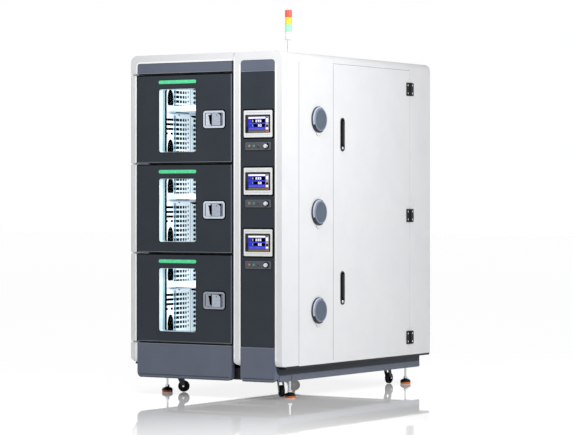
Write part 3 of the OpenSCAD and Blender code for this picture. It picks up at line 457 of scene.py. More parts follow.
# Painted highlight on the upper half of the port's collar.
PORT_HIGHLIGHT = MouldedPlastic("port_painted_highlight", "#c3cddd", "#b4bfd0", 0.2)
SWITCH_GREY = MouldedPlastic("grey_switch_plate", "#575d66", "#525861", 0.45, gloss=0.2)
PLATE_EDGE = MouldedPlastic("switch_plate_edge", "#666b74", "#60656e", 0.4, gloss=0.3)
BLACK_NYLON = MouldedPlastic("black_nylon", "#131417", "#0f1012", 0.42, gloss=0.2)
BOARD_PLASTIC = MouldedPlastic("grey_contactor_plastic", "#8f9294", "#85888a", 0.45)
GREY_PRINT = MouldedPlastic("pale_grey_strip", "#cfd1d6", "#c9cbd0", 0.35)
# Black of the screen picture and the gaskets, and painted shade in gaps, wells and hollows.
BLACK_AND_PAINTED_SHADE = MouldedPlastic("black_and_painted_shade", "#040506", "#020303", 0.8, gloss=0.0)
# Painted shade in the holes, slots and under the shelf inside the chambers.
BLUE_PAINTED_SHADE = MouldedPlastic("blue_painted_shade", "#1c3244", "#14283a", 0.8, gloss=0.0)
DUCT_BLUE = MouldedPlastic("duct_edge_film", "#7fb0c8", "#6c9cb6", 0.4)
BLACK_GLASS = MouldedPlastic("screen_cover_black", "#0c0d10", "#090a0c", 0.12, 60, 0.001)
REVEAL_WHITE = MouldedPlastic("window_reveal_white", "#cfe2ea", "#c2d8e2", 0.3)
REVEAL_BLUE = MouldedPlastic("window_spacer_blue", "#8aa9b5", "#7f9fac", 0.25)
BLACK_RUBBER = Elastomer("black_rubber", "#0e0f11", "#0a0b0c")
GREY_SILICONE = Elastomer("grey_door_silicone", "#c9c9c5", "#bdbdb9", 0.6)
ORANGE_RUBBER = Elastomer("orange_foot_rubber", "#e0782c", "#cc6420", 0.5)
FOAM = RigidFoam("insulation_foam", "#e2dcc0", "#d2cba8")
GLASS = Pane("heated_window_glass", "#1a2426", "#1a2426")
GREEN_BAR = LitLens("green_status_diffuser", "#54d294", "#48c688", 0.23)
TOWER_RED = LitLens("red_tower_lens", "#dc4c3e", "#ce4034", 0.2)
TOWER_YELLOW = LitLens("yellow_tower_lens", "#e8cc20", "#dcbe18", 0.13)
TOWER_GREEN = LitLens("green_tower_lens", "#98e2b8", "#88d6aa", 0.2)
LAMP_ORANGE = LitLens("orange_lamp_lens", "#a0764c", "#936a40", 0.06)
LAMP_GREEN = LitLens("green_lamp_lens", "#4a8b72", "#3c7862", 0.06)
LAMP_RED = LitLens("red_lamp_lens", "#54212d", "#431722", 0.02)
CHAMBER_LED = LitLens("chamber_led_strip", "#f3fbff", "#e8f5ff", 6.0)
SCREEN_BLUE = LitLens("screen_blue", "#1414c0", "#0e0eac", 0.22)
SCREEN_LILAC = LitLens("screen_lilac", "#4b48cc", "#423fbe", 0.22)
SCREEN_WHITE = LitLens("screen_white", "#f2f2fb", "#eaeaf6", 0.35)
SCREEN_CREAM = LitLens("screen_cream", "#f3ecc8", "#e8e0b8", 0.3)
SCREEN_CYAN = LitLens("screen_cyan", "#4fc4cc", "#3fb0ba", 0.3)
SCREEN_OLIVE = LitLens("screen_olive", "#67643a", "#5c5932", 0.2)
SCREEN_GREY = LitLens("screen_grey", "#a9a6a8", "#9a979a", 0.2)
SCREEN_RED = LitLens("screen_red", "#a0383a", "#8c282b", 0.25)

_finishes: dict[str, bpy.types.Material] = {}


def finish_of(finish: Finish) -> bpy.types.Material:
    """Gives a finish's material, which is made once.

    Args:
        finish: The finish.

    Returns:
        Its material.
    """
    if finish.name not in _finishes:
        _finishes[finish.name] = finish.material()
    return _finishes[finish.name]


class Facing(Enum):
    """Plane of an outline: its two axes, then the axis it is given depth along."""

    FRONT = (0, 2, 1)
    SIDE = (1, 2, 0)
    TOP = (0, 1, 2)


FRONT, SIDE, TOP = Facing

# Axes that a turned form stands along
X, Y, Z = range(3)


def arc(uc: float, vc: float, r: float, start: float, end: float, steps: int) -> Outline:
    """Gives points along an arc.

    Args:
        uc: Centre along the first axis.
        vc: Centre along the second axis.
        r: Radius.
        start: First angle in degrees.
        end: Last angle in degrees.
        steps: Number of chords.

    Returns:
        The points, both ends included.
    """
    turns = [math.radians(start + (end - start) * k / steps) for k in range(steps + 1)]
    return [(uc + r * math.cos(a), vc + r * math.sin(a)) for a in turns]


def hexagon(uc: float, vc: float, r: float, turn: float = 0.0) -> Outline:
    """Gives a hexagon about a middle, its first corner at an angle in degrees."""
    return arc(uc, vc, r, turn, turn + 300, 5)


def box_outline(u0: float, v0: float, u1: float, v1: float) -> Outline:
    """Gives a rectangle between two corners."""
    return [(u0, v0), (u1, v0), (u1, v1), (u0, v1)]


def rounded_outline(uc: float, vc: float, w: float, h: float, r: float, steps: int = 6) -> Outline:
    """Gives a rounded rectangle about a middle.

    Args:
        uc: Middle along the first axis.
        vc: Middle along the second axis.
        w: Width.
        h: Height.
        r: Corner radius.
        steps: Segments in a corner.

    Returns:
        The outline, counter-clockwise.
    """
    r = min(r, w / 2 - 0.01, h / 2 - 0.01)
    points: Outline = []
    for quarter, (su, sv) in enumerate(((1, 1), (-1, 1), (-1, -1), (1, -1))):
        corner = (uc + su * (w / 2 - r), vc + sv * (h / 2 - r))
        points += arc(*corner, r, 90 * quarter, 90 * quarter + 90, steps)
    return points


def shifted(outline: Outline, du: float, dv: float) -> Outline:
    """Gives an outline moved along its two axes."""
    return [(u + du, v + dv) for u, v in outline]


class Piece:
    """Collects faces in cabinet millimetres, then becomes one object on a body."""

    def __init__(self, name: str, body: str = "cabinet") -> None:
        """Starts an empty piece.

        Args:
            name: The object's name.
            body: The CAD body it moves with.
        """
        self.name = name
        self.body = body
        self.bm = bmesh.new()

    def _vertex(self, facing: Facing, u: float, v: float, w: float) -> bmesh.types.BMVert:
        """Adds a vertex.

        Args:
            facing: The plane.
            u: Place along its first axis.
            v: Place along its second axis.
            w: Depth.

        Returns:
            The vertex.
        """
        co = [0.0, 0.0, 0.0]
        first, second, deep = facing.value
        co[first], co[second], co[deep] = u, v, w
        return self.bm.verts.new(co)

    def plate(
        self,
        outline: Outline,
        facing: Facing,
        low: float,
        high: float,
        bevel: float = 0.0,
        holes: Iterable[Outline] = (),
    ) -> "Piece":
        """Adds a plate of even thickness, with holes right through it.

        Args:
            outline: The outer edge.
            facing: The plane of the outline.
            low: Start of the thickness.
            high: End of the thickness.
            bevel: Width of the rounding on all sharp edges.
            holes: Inner edges.

        Returns:
            The piece itself.
        """
        before = set(self.bm.faces)
        edges: list[bmesh.types.BMEdge] = []
        for loop in [outline, *holes]:
            verts = [self._vertex(facing, u, v, low) for u, v in loop]
            edges += [self.bm.edges.new((a, b)) for a, b in zip(verts, verts[1:] + verts[:1])]
        filled = bmesh.ops.triangle_fill(self.bm, edges=edges, use_beauty=True)
        faces = [g for g in filled["geom"] if isinstance(g, bmesh.types.BMFace)]
        grown = bmesh.ops.extrude_face_region(self.bm, geom=faces, use_keep_orig=True)
        moved = [g for g in grown["geom"] if isinstance(g, bmesh.types.BMVert)]
        shift = [0.0, 0.0, 0.0]
        shift[facing.value[2]] = high - low
        bmesh.ops.translate(self.bm, verts=moved, vec=shift)
        new = [f for f in self.bm.faces if f not in before]
        bmesh.ops.recalc_face_normals(self.bm, faces=new)
        if bevel:
            self._bevel(new, bevel)
        return self

    def _bevel(self, faces: Iterable[bmesh.types.BMFace], width: float) -> None:
        """Rounds sharp edges.

        Args:
            faces: Faces whose edges are looked at.
            width: Width of the rounding.
        """
        edges = {e for f in faces for e in f.edges if len(e.link_faces) == 2}
        sharp = [e for e in edges if e.calc_face_angle(0.0) > math.radians(SMOOTH_DEG)]
        bmesh.ops.bevel(
            self.bm, geom=sharp, offset=width, segments=2, profile=0.6, affect="EDGES", clamp_overlap=True
        )

    def turned(
        self, profile: Sequence[Point2], centre: Sequence[float], axis: int, steps: int = 40, sign: int = 1
    ) -> "Piece":
        """Adds a turned form.

        Args:
            profile: Radius and height pairs along the axis.
            centre: Foot of the axis.
            axis: X, Y or Z.
            steps: Segments around.
            sign: -1 to run the heights against the axis.

        Returns:
            The piece itself.
        """
        first, second = [a for a in range(3) if a != axis]
        rings: list[list[bmesh.types.BMVert]] = []
        for radius, height in profile:
            ring = []
            for k in range(1 if radius == 0 else steps):
                a = 2 * math.pi * k / steps
                co = [float(c) for c in centre]
                co[axis] += sign * height
                co[first] += radius * math.cos(a)
                co[second] += radius * math.sin(a)
                ring.append(self.bm.verts.new(co))
            rings.append(ring)
        new: list[bmesh.types.BMFace] = []
        for low, high in zip(rings, rings[1:]):
            for k in range(steps):
                corners = [low[k % len(low)], low[(k + 1) % len(low)]]
                corners += [high[(k + 1) % len(high)], high[k % len(high)]]
                unique = list(dict.fromkeys(corners))
                if len(unique) > 2:
                    new.append(self.bm.faces.new(unique))
        for ring in (rings[0], rings[-1]):
            if len(ring) > 2:
                new.append(self.bm.faces.new(ring))
        bmesh.ops.recalc_face_normals(self.bm, faces=new)
        return self

    def done(self, finish: Finish, slot: str, replaces: Sequence[str] = ()) -> bpy.types.Object:
        """Turns the faces into an object that rides on the piece's body.

        Args:
            finish: The piece's finish.
            slot: The record's material slot; not used.
            replaces: CAD nodes that it stands for.

        Returns:
            The object.
        """
        body = self.body
        mesh = bpy.data.meshes.new(self.name)
        for v in self.bm.verts:
            v.co = place(*v.co)
        self.bm.to_mesh(mesh)
        self.bm.free()
        mesh.shade_smooth()
        mesh.set_sharp_from_angle(angle=math.radians(SMOOTH_DEG))
        mesh.materials.append(finish_of(finish))
        obj = bpy.data.objects.new(self.name, mesh)
        link(obj)
        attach(obj, body)
        if replaces:
            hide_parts(*replaces)
        log.info("piece %s on %s: %d faces", self.name, body, len(mesh.polygons))
        return obj


def dress(finish: Finish, *nodes: str) -> None:
    """Gives carried-over CAD nodes their finish.

    Args:
        finish: The finish.
        nodes: Names of the nodes.
    """
    for node in nodes:
        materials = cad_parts[node].data.materials
        if not materials:
            materials.append(finish_of(finish))
        for k in range(len(materials)):
            materials[k] = finish_of(finish)


@dataclass
class Studio:
    """Camera, floor, world and lamps. None of it is part of the object."""

    camera_at: tuple[float, float, float] = (8091.5, -11253.2, 1059.0)
    yaw_deg: float = 32.14
    focal_px: float = 2488.2
    horizon_px: float = 203.12
    image_px: tuple[int, int] = (573, 435)
    sensor_mm: float = 36.0
    fill: float = 0.41
    floor: str = "#f4f4f4"
    floor_half_m: float = 60.0
    floor_lift: float = 0.56
    # Share of mirror near the object and far in front, and where in metres each is reached
    polish: float = 0.72
    dull: float = 0.1
    polished_y: float = -1.2
    dull_y: float = -4.2

    def add_camera(self) -> None:
        """Puts the camera where the photograph was taken from."""
        data = bpy.data.cameras.new("camera")
        data.sensor_width = self.sensor_mm
        data.lens = self.sensor_mm * self.focal_px / self.image_px[0]
        data.shift_y = (self.horizon_px - self.image_px[1] / 2) / self.image_px[0]
        data.clip_end = 200.0
        camera = bpy.data.objects.new("camera", data)
        camera.location = place(*self.camera_at)
        yaw = math.radians(self.yaw_deg)
        look = Vector((-math.sin(yaw), math.cos(yaw), 0.0))
        camera.rotation_euler = look.to_track_quat("-Z", "Y").to_euler()
        link(camera)
        bpy.context.scene.camera = camera

    def add_world(self) -> None:
        """Lights the scene evenly and shows white behind it."""
        world = bpy.data.worlds.new("studio")
        bpy.context.scene.world = world
        tree = empty_tree(world)
        path = add_node(tree, "LightPath").outputs
        seen = path["Is Camera Ray"]
        for ray in ("Is Transmission Ray", "Is Glossy Ray"):
            seen = add_node(tree, "Math", {0: seen, 1: path[ray]}, operation="MAXIMUM").outputs["Value"]
        fill, shown = (
            add_node(tree, "Background", {"Color": WHITE, "Strength": strength}).outputs["Background"]
            for strength in (self.fill, 1.0)
        )
        add_node(tree, "OutputWorld", {"Surface": mixed(tree, seen, fill, shown)})

    def floor_material(self) -> bpy.types.Material:
        """Makes the floor's finish: white, and a mirror that fades towards the camera.

        Returns:
            The new material.
        """
        material = bpy.data.materials.new("polished_white_floor")
        tree = empty_tree(material)
        path = add_node(tree, "LightPath").outputs
        matt = add_node(tree, "BsdfDiffuse", {"Color": linear(self.floor)}).outputs["BSDF"]
        lift = add_node(tree, "Emission", {"Color": WHITE, "Strength": self.floor_lift})
        lifted = add_node(tree, "AddShader", {0: matt, 1: lift.outputs["Emission"]}).outputs["Shader"]
        shown = mixed(tree, path["Is Camera Ray"], matt, lifted)
        mirror = add_node(tree, "BsdfGlossy", {"Color": WHITE, "Roughness": 0.03}).outputs["BSDF"]
        spot = add_node(tree, "TexCoord").outputs["Object"]
        turn = (0, 0, -math.radians(self.yaw_deg))
        turned = add_node(tree, "Mapping", {"Vector": spot, "Rotation": turn}).outputs["Vector"]
        depth = add_node(tree, "SeparateXYZ", {"Vector": turned}).outputs["Y"]
        spans = {"Value": depth, "From Min": self.dull_y, "From Max": self.polished_y}
        spans |= {"To Min": self.dull, "To Max": self.polish}
        polish = add_node(tree, "MapRange", spans, interpolation_type="SMOOTHSTEP").outputs["Result"]
        add_node(tree, "OutputMaterial", {"Surface": mixed(tree, polish, shown, mirror)})
        return material

    def add_floor(self) -> None:
        """Lays a polished white floor that mirrors the object faintly."""
        mesh = bpy.data.meshes.new("floor")
        half = self.floor_half_m
        corners = [(u, v, 0.0) for u, v in box_outline(-half, -half, half, half)]
        mesh.from_pydata(corners, [], [(0, 1, 2, 3)])
        mesh.materials.append(self.floor_material())
        floor = bpy.data.objects.new("floor", mesh)
        link(floor)

    def add_lamp(
        self, name: str, at: Sequence[float], aim: Sequence[float], size_m: float, watts: float
    ) -> None:
        """Adds a soft square lamp.

        Args:
            name: The lamp's name.
            at: Its place in cabinet millimetres.
            aim: The point it faces.
            size_m: Side of the square in metres.
            watts: Power.
        """
        data = bpy.data.lights.new(name, "AREA")
        data.energy = watts
        data.size = size_m
        lamp = bpy.data.objects.new(name, data)
        lamp.visible_camera = False
        lamp.location = place(*at)
        lamp.rotation_euler = (place(*aim) - lamp.location).to_track_quat("-Z", "Y").to_euler()
        link(lamp)

    def build(self) -> None:
        """Sets up the view, the floor and the light."""
        self.add_camera()
        self.add_world()
        self.add_floor()
        self.add_lamp("key", (2700, 40, 1900), (992, 500, 1050), 1.8, 31)
        self.add_lamp("front", (1150, -1450, 2700), (750, 0, 1500), 1.4, 27)
        for n in (1, 2, 3):
            z = zone_bottom(n) + DOOR_H / 2
            self.add_lamp(f"chamber_{n}_fill", (420, 150, z + 150), (120, 380, z - 20), 0.12, 1.5)
            self.add_lamp(f"chamber_{n}_low_fill", (420, 150, z - 60), (120, 380, z - 80), 0.1, 1.0)
        bpy.context.scene.view_settings.view_transform = "Standard"


@dataclass
class Door:
    """One insulated door: leaf, light edge strip, window, status bar and latch."""

    number: int
    window_x: float = 191.0
    window_w: float = 246.0
    window_h: float = 350.0
    window_z: float = 57.0
    window_r: float = 14.0
    window_step: float = 12.0
    plug_end: float = 88.0
    latch_xc: float = 557.0
    latch_w: float = 140.0
    latch_h: float = 94.0
    pan_rim: float = 12.0
    pan_slope: float = 0.877
    bottom: float = field(init=False)
    body: str = field(init=False)

    def __post_init__(self) -> None:
        """Works out the door's height above the floor and its body's name."""
        self.bottom = zone_bottom(self.number)
        self.body = f"door_{self.number}"

    def part(self, name: str) -> Piece:
        """Starts a piece named for this door, on its body."""
        return Piece(f"{self.body}_{name}", self.body)

    def window(self, grow: float) -> Outline:
        """Gives the window's outline.

        Args:
            grow: How far it is grown all round.

        Returns:
            The outline.
        """
        xc = self.window_x + self.window_w / 2
        zc = self.bottom + self.window_z + self.window_h / 2
        w, h = self.window_w + 2 * grow, self.window_h + 2 * grow
        return rounded_outline(xc, zc, w, h, self.window_r + grow)

    def add_edge_strip(self) -> None:
        """Adds the light profile down the hinge side, with a raised bead beside the leaf that is whiter as a
        painted highlight.
        """
        back = DOOR_T + 0.3
        strip = [(-0.6, back), (-0.6, 8.0), *arc(7.4, 7.2, 8.0, 180, 270, 6)[1:], (27.5, -0.8)]
        strip += [(27.5, 0.6), (6.0, 0.6), (1.0, 6.0), (1.0, back)]
        bead = [(28.0, 0.6), (28.0, -1.0), (29.6, -2.4), (33.5, -3.0)]
        bead += [(37.4, -2.4), (39.0, -1.0), (39.0, 0.6)]
        low, high = self.bottom + 0.4, self.bottom + DOOR_H - 0.4
        self.part("edge_strip").plate(strip, TOP, low, high, 0.25).done(LIGHT_COAT, "light_paint")
        self.part("edge_bead").plate(bead, TOP, low, high, 0.3).done(BEAD_HIGHLIGHT, "light_paint")

    def add_leaf_trim(self) -> None:
        """Adds the groove beside the strip, painted highlights on the lower and right edges, and painted
        shade on the top and bottom faces and along the top edge.
        """
        z0, z1 = self.bottom, self.bottom + DOOR_H
        groove = box_outline(39.4, z0 + 0.5, 47.4, z1 - 0.5)
        self.part("groove").plate(groove, FRONT, -0.3, 1.0, 0.1).done(BLACK_RUBBER, "graphite_paint")
        # Pale lines on the lower and right edges: painted highlights.
        edge = self.part("edge_highlight")
        edge.plate(box_outline(49, z0 + 2.4, DOOR_W - 4, z0 + 4.4), FRONT, -0.5, 0.5, 0.2)
        edge.plate(box_outline(DOOR_W - 3.6, z0 + 1, DOOR_W - 0.4, z1 - 5), FRONT, -0.5, 0.6, 0.2)
        edge.done(EDGE_HIGHLIGHT, "graphite_paint")
        # Black strips on the top and bottom faces and along the top edge: painted shade between the doors.
        seals = self.part("edge_shade")
        for low, high in ((z1 + 0.05, z1 + 0.6), (z0 - 0.6, z0 - 0.05)):
            seals.plate(box_outline(50, 1.5, DOOR_W - 4, DOOR_T - 2), TOP, low, high)
        seals.plate(box_outline(48, z1 - 4.6, DOOR_W - 0.4, z1 - 0.2), FRONT, -0.4, 0.3)
        seals.done(BLACK_AND_PAINTED_SHADE, "graphite_paint")

    def add_window(self) -> None:
        """Adds the window's seal, its two-tone reveal, its gaskets and its panes."""
        step, end = self.window_step, self.plug_end + 0.4
        # Name, outer and inner growth, start and end of the depth, rounding, finish and slot
        rings = (
            ("window_seal", 3.2, -1.2, -0.9, 0.4, 0.35, BLACK_RUBBER, "graphite_paint"),
            ("reveal_front", -0.2, -2.2, 0.5, 31.0, 0.2, REVEAL_WHITE, "window_glass"),
            ("reveal_back", -0.2, -2.6, 31.2, 52.0, 0.2, REVEAL_BLUE, "window_glass"),
            # The gaskets' deep black is their own colour and also painted shade of the shadowed step behind
            # them.
            ("reveal_gasket", -0.2, -3.0, 52.2, 62.4, 0.4, BLACK_AND_PAINTED_SHADE, "window_glass"),
            ("inner_gasket", step - 0.2, step - 2.4, 76.0, end, 0.4, BLACK_AND_PAINTED_SHADE, "window_glass"),
        )
        for name, outer, inner, low, high, bevel, finish, slot in rings:
            ring = self.part(name).plate(self.window(outer), FRONT, low, high, bevel, [self.window(inner)])
            ring.done(finish, slot)
        for name, y, inset in (("outer", 3.0, -2.4), ("inner", 81.0, step - 2.6)):
            pane = self.part(f"pane_{name}").plate(self.window(inset), FRONT, y, y + 5.0, 0.5)
            pane.done(GLASS, "window_glass", [f"{self.body}_glazing"])

    def add_status_bar(self) -> None:
        """Adds the lit bar above the window, in its dark rim."""
        x, z = self.window_x + self.window_w / 2, self.bottom + DOOR_H - 40
        sizes = ((254, 24), (249.5, 19.5), (249.8, 19.8))
        rim, hole, bar = (rounded_outline(x, z, w, h, h / 2, 8) for w, h in sizes)
        self.part("bar_rim").plate(rim, FRONT, -0.7, 0.5, 0.3, [hole]).done(BLACK_NYLON, "graphite_paint")
        lit = self.part("status_bar").plate(bar, FRONT, -1.2, 5.5, 0.8)
        lit.done(GREEN_BAR, "window_glass", [f"{self.body}_glazing"])

    def add_latch(self) -> None:
        """Adds the pan's black gasket and dark inner line, and painted shade: a shadow round the gasket, in
        the well, on the ramp and in the hinge slot, and a shadow gap and mark beside the paddle.
        """
        xc, zc = self.latch_xc, self.bottom + DOOR_H / 2 - 8
        w, h = self.latch_w, self.latch_h
        iw, ih = w - 2 * self.pan_rim, h - 2 * self.pan_rim
        # Black ring round the rim: the gasket, widened by a painted shadow.
        rim = rounded_outline(xc, zc, w + 12, h + 12, 20)
        hole = rounded_outline(xc, zc, w - 1, h - 1, 15.5)
        self.part("latch_gasket_shadow").plate(rim, FRONT, -0.6, 0.2, 0.2, [hole]).done(BLACK_AND_PAINTED_SHADE, "graphite_paint")
        line = rounded_outline(xc, zc, iw + 1.6, ih + 1.6, 6.6)
        hole = rounded_outline(xc, zc, iw - 1.2, ih - 1.2, 5.4)
        ring = self.part("latch_inner_line").plate(line, FRONT, -3.3, -2.8, 0.0, [hole])
        ring.done(BLACK_NYLON, "chromed")
        # Black well at the pan's floor: painted shade.
        well = rounded_outline(xc + 4, zc, iw - 16, ih - 3, 4)
        self.part("latch_well_shade").plate(well, FRONT, 28.0, 32.8, 0.5).done(BLACK_AND_PAINTED_SHADE, "chromed")
        # Tapered black sheet on the pan's ramp: painted shadow.
        dark = [(-47, 25), (-45.5, 19), (-43.4, 10), (-43, 0)]
        dark += [(-41, -12), (-40.5, -25), (-23, -25), (-23, 25)]
        shadow = self.part("latch_shadow").plate(shifted(dark, xc, zc), FRONT, -0.5, 0.3)
        for v in shadow.bm.verts:
            v.co.y += 1.3 + (v.co.x - (xc - 58.5)) * self.pan_slope
        shadow.done(BLACK_AND_PAINTED_SHADE, "chromed")
        # Black strip in the pan right of the paddle: painted shade of the hinge slot.
        slot = box_outline(xc + 49.6, zc - 33, xc + 57.6, zc + 33)
        self.part("latch_hinge_slot_shade").plate(slot, FRONT, 14.2, 14.6).done(BLACK_AND_PAINTED_SHADE, "chromed")
        # Black strip beside the paddle and small mark on it: painted shadow gap.
        gap = [(21, 32.8), (30, 29), (38, 24.5), (42.4, 18), (42.4, -32.8), (48.4, -32.8), (48.4, 32.8)]
        mark = Piece(f"{self.body}_paddle_gap_shadow", f"paddle_{self.number}")
        mark.plate(shifted(gap, xc, zc), FRONT, -3.15, -2.8)
        mark.plate(shifted([(14, 26), (17, 25), (19, 17), (16, 18)], xc, zc), FRONT, -3.2, -2.8)
        mark.done(BLACK_AND_PAINTED_SHADE, "chromed")

    def build(self) -> None:
        """Builds the door's pieces and dresses its nodes."""
        dress(GRAPHITE_COAT, f"{self.body}_leaf")
        dress(CHROME, f"{self.body}_latch_pan")
        dress(PADDLE_STEEL, f"latch_paddle_{self.number}")
        self.add_edge_strip()
        self.add_leaf_trim()
        self.add_window()
        self.add_status_bar()
        self.add_latch()


@dataclass
class Chamber:
    """Inside of one chamber: punched side duct, holed post, shelf edge and lamp strip."""

    number: int
    left: float = 86.0
    width: float = 500.0
    height: float = 424.0
    row_pitch: float = 26.1
    row_offset: float = 5.7
    row_reach: float = 192.0
    duct_half: float = 204.0
    # Heights about the middle: behind the shelf, and of the rows with a long slot or two short ones
    shelf_free: tuple[float, float] = (30.0, 80.0)
    slot_rows: tuple[float, float] = (-64.0, 12.0)
    pair_rows: tuple[float, float] = (-90.0, -64.0)
    middle: float = field(init=False)

    def __post_init__(self) -> None:
        """Works out the chamber's middle."""
        self.middle = zone_bottom(self.number) + DOOR_H / 2

    def wall(
        self,
        name: str,
        outlines: Iterable[Outline],
        depth: tuple[float, float],
        finish: Finish,
        bevel: float = 0.0,
        holes: Iterable[Outline] = (),
    ) -> None:
        """Adds a piece of flat outlines beside the left wall.

        Args:
            name: The piece's name within the chamber.
            outlines: Outlines in the wall's plane.
            depth: Start and end of the thickness, from the wall.
            finish: The piece's finish.
            bevel: Width of the rounding.
            holes: Holes through each outline.
        """
        piece = Piece(f"chamber_{self.number}_{name}")
        low, high = depth
        for outline in outlines:
            piece.plate(outline, SIDE, self.left + low, self.left + high, bevel, holes)
        piece.done(finish, "stainless")

    def bullet(self, y: float, z: float, w: float, h: float) -> Outline:
        """Gives a window with a flat foot and a pointed top.

        Args:
            y: Middle of the foot.
            z: Height of the foot.
            w: Width.
            h: Height.

        Returns:
            The outline.
        """
        shares = ((0.42, 0), (0.5, 0.12), (0.5, 0.5), (0.45, 0.7), (0.34, 0.86), (0.2, 0.96))
        side = [(y + u * w, z + v * h) for u, v in shares]
        return [*side, (y, z + h), *[(2 * y - u, v) for u, v in reversed(side)]]

    def rows(self) -> list[float]:
        """Gives the heights of the punched rows that the shelf leaves free.

        Returns:
            The heights, lowest first.
        """
        low, high = self.shelf_free
        heights = [self.middle + self.row_offset + self.row_pitch * k for k in range(-8, 8)]
        inside = [z for z in heights if abs(z - self.middle) < self.row_reach]
        return [z for z in inside if not low < z - self.middle < high]

    def add_side_duct(self) -> None:
        """Adds the punched duct sheet, a black sheet behind it as painted shade, its blue film with painted
        shade in the film's slots, and its seam.
        """
        z = self.middle
        low, high = z - self.duct_half, z + self.duct_half
        holes = [self.bullet(259, z + 86, 60, 90), self.bullet(259, z - 202, 60, 98)]
        blue: list[Outline] = []
        # Holes of one row by middle, width and height; the smallest stand a little higher
        for zr in self.rows():
            for y, w, h in ((330, 32, 16), (362, 22, 16), (389, 18, 16), (412, 14, 15), (435, 11, 11)):
                holes.append(rounded_outline(y, zr + (4 if w < 12 else 0), w, h, 3, 3))
            blue.append(rounded_outline(300, zr, 15, 14, 3, 3))
            if self.slot_rows[0] < zr - z < self.slot_rows[1]:
                holes.append(rounded_outline(250, zr, 78, 14, 4, 3))
            if self.pair_rows[0] < zr - z < self.pair_rows[1]:
                holes += [rounded_outline(224, zr, 20, 13, 3, 3), rounded_outline(272, zr, 24, 13, 3, 3)]
        spans = ((low, z + 30), (z + 84, high))
        sheet, hollow = box_outline(200, low, 474, high), box_outline(204, low + 4, 470, high - 4)
        self.wall("side_duct", [sheet], (1.2, 1.7), DUCT_WHITE, holes=[*holes, *blue])
        # Black sheet behind the punched holes: painted shade of the hollow.
        self.wall("duct_hollow_shade", [hollow], (0.4, 1.0), BLACK_AND_PAINTED_SHADE, 0.2)
        self.wall("duct_film", [box_outline(291, z0, 313, z1) for z0, z1 in spans], (1.8, 2.0), DUCT_BLUE)
        # Dark blue in the film's slots: painted shade.
        self.wall("film_slots", blue, (2.1, 2.3), BLUE_PAINTED_SHADE)
        seam = [box_outline(454, z0, 459, z1) for z0, z1 in spans]
        self.wall("duct_seam", seam, (1.8, 2.6), SEAM_GREY, 0.3)

    def add_post(self) -> None:
        """Adds the face of the shelf post at the rear left, and dark blue discs for its round holes, as
        painted shade.
        """
        z = self.middle
        self.wall("post_face", [box_outline(476, z - 200, 515, z + 200)], (2.7, 3.4), DUCT_WHITE, 0.2)
        holes = [rounded_outline(495, zr, 24, 17, 8, 4) for zr in self.rows()]
        self.wall("post_hole_shades", holes, (3.5, 4.0), BLUE_PAINTED_SHADE)

    def add_shelf_edge(self) -> None:
        """Adds the runner strip and painted shadow lines under it on the shelf's rail, and the shelf's clips.
        """
        z, left = self.middle, self.left
        runner = box_outline(176, z + 37.5, 507, z + 50.5)
        self.wall("shelf_runner", [runner], (12.1, 12.4), RUNNER_GREY, 0.1)
        # Dark blue lines under the runner: painted shadow.
        lines = [box_outline(296, z + 44, 430, z + 50.4), box_outline(236, z + 41, 300, z + 43)]
        self.wall("shelf_shadow_lines", lines, (12.5, 12.8), BLUE_PAINTED_SHADE)
        clips = Piece(f"chamber_{self.number}_shelf_clips")
        for outline, low, high in (
            ([(236, 58), (243, 84), (250, 84), (246, 56)], 2.3, 2.8),
            ([(450, 34), (515, 36), (515, 20), (472, 24)], 3.6, 4.0),
            ([(332, 36), (352, 36), (346, 27)], 2.5, 3.0),
        ):
            clips.plate(shifted(outline, 0, z), SIDE, left + low, left + high)
        clips.done(BLACK_AND_PAINTED_SHADE, "stainless")

    def add_lamp_strip(self) -> None:
        """Adds the lit strip along the front of the ceiling."""
        z = self.middle + self.height / 2
        strip = rounded_outline(self.left + self.width / 2, 112, self.width - 40, 16, 6, 4)
        lit = Piece(f"chamber_{self.number}_led_strip").plate(strip, TOP, z - 7.5, z - 0.4, 1.2)
        lit.done(CHAMBER_LED, "stainless")

    def build(self) -> None:
        """Builds the chamber's pieces."""
        self.add_side_duct()
        self.add_post()
        self.add_shelf_edge()
        self.add_lamp_strip()
        dress(MILL_ALUMINIUM, f"circulation_fan_{self.number}")


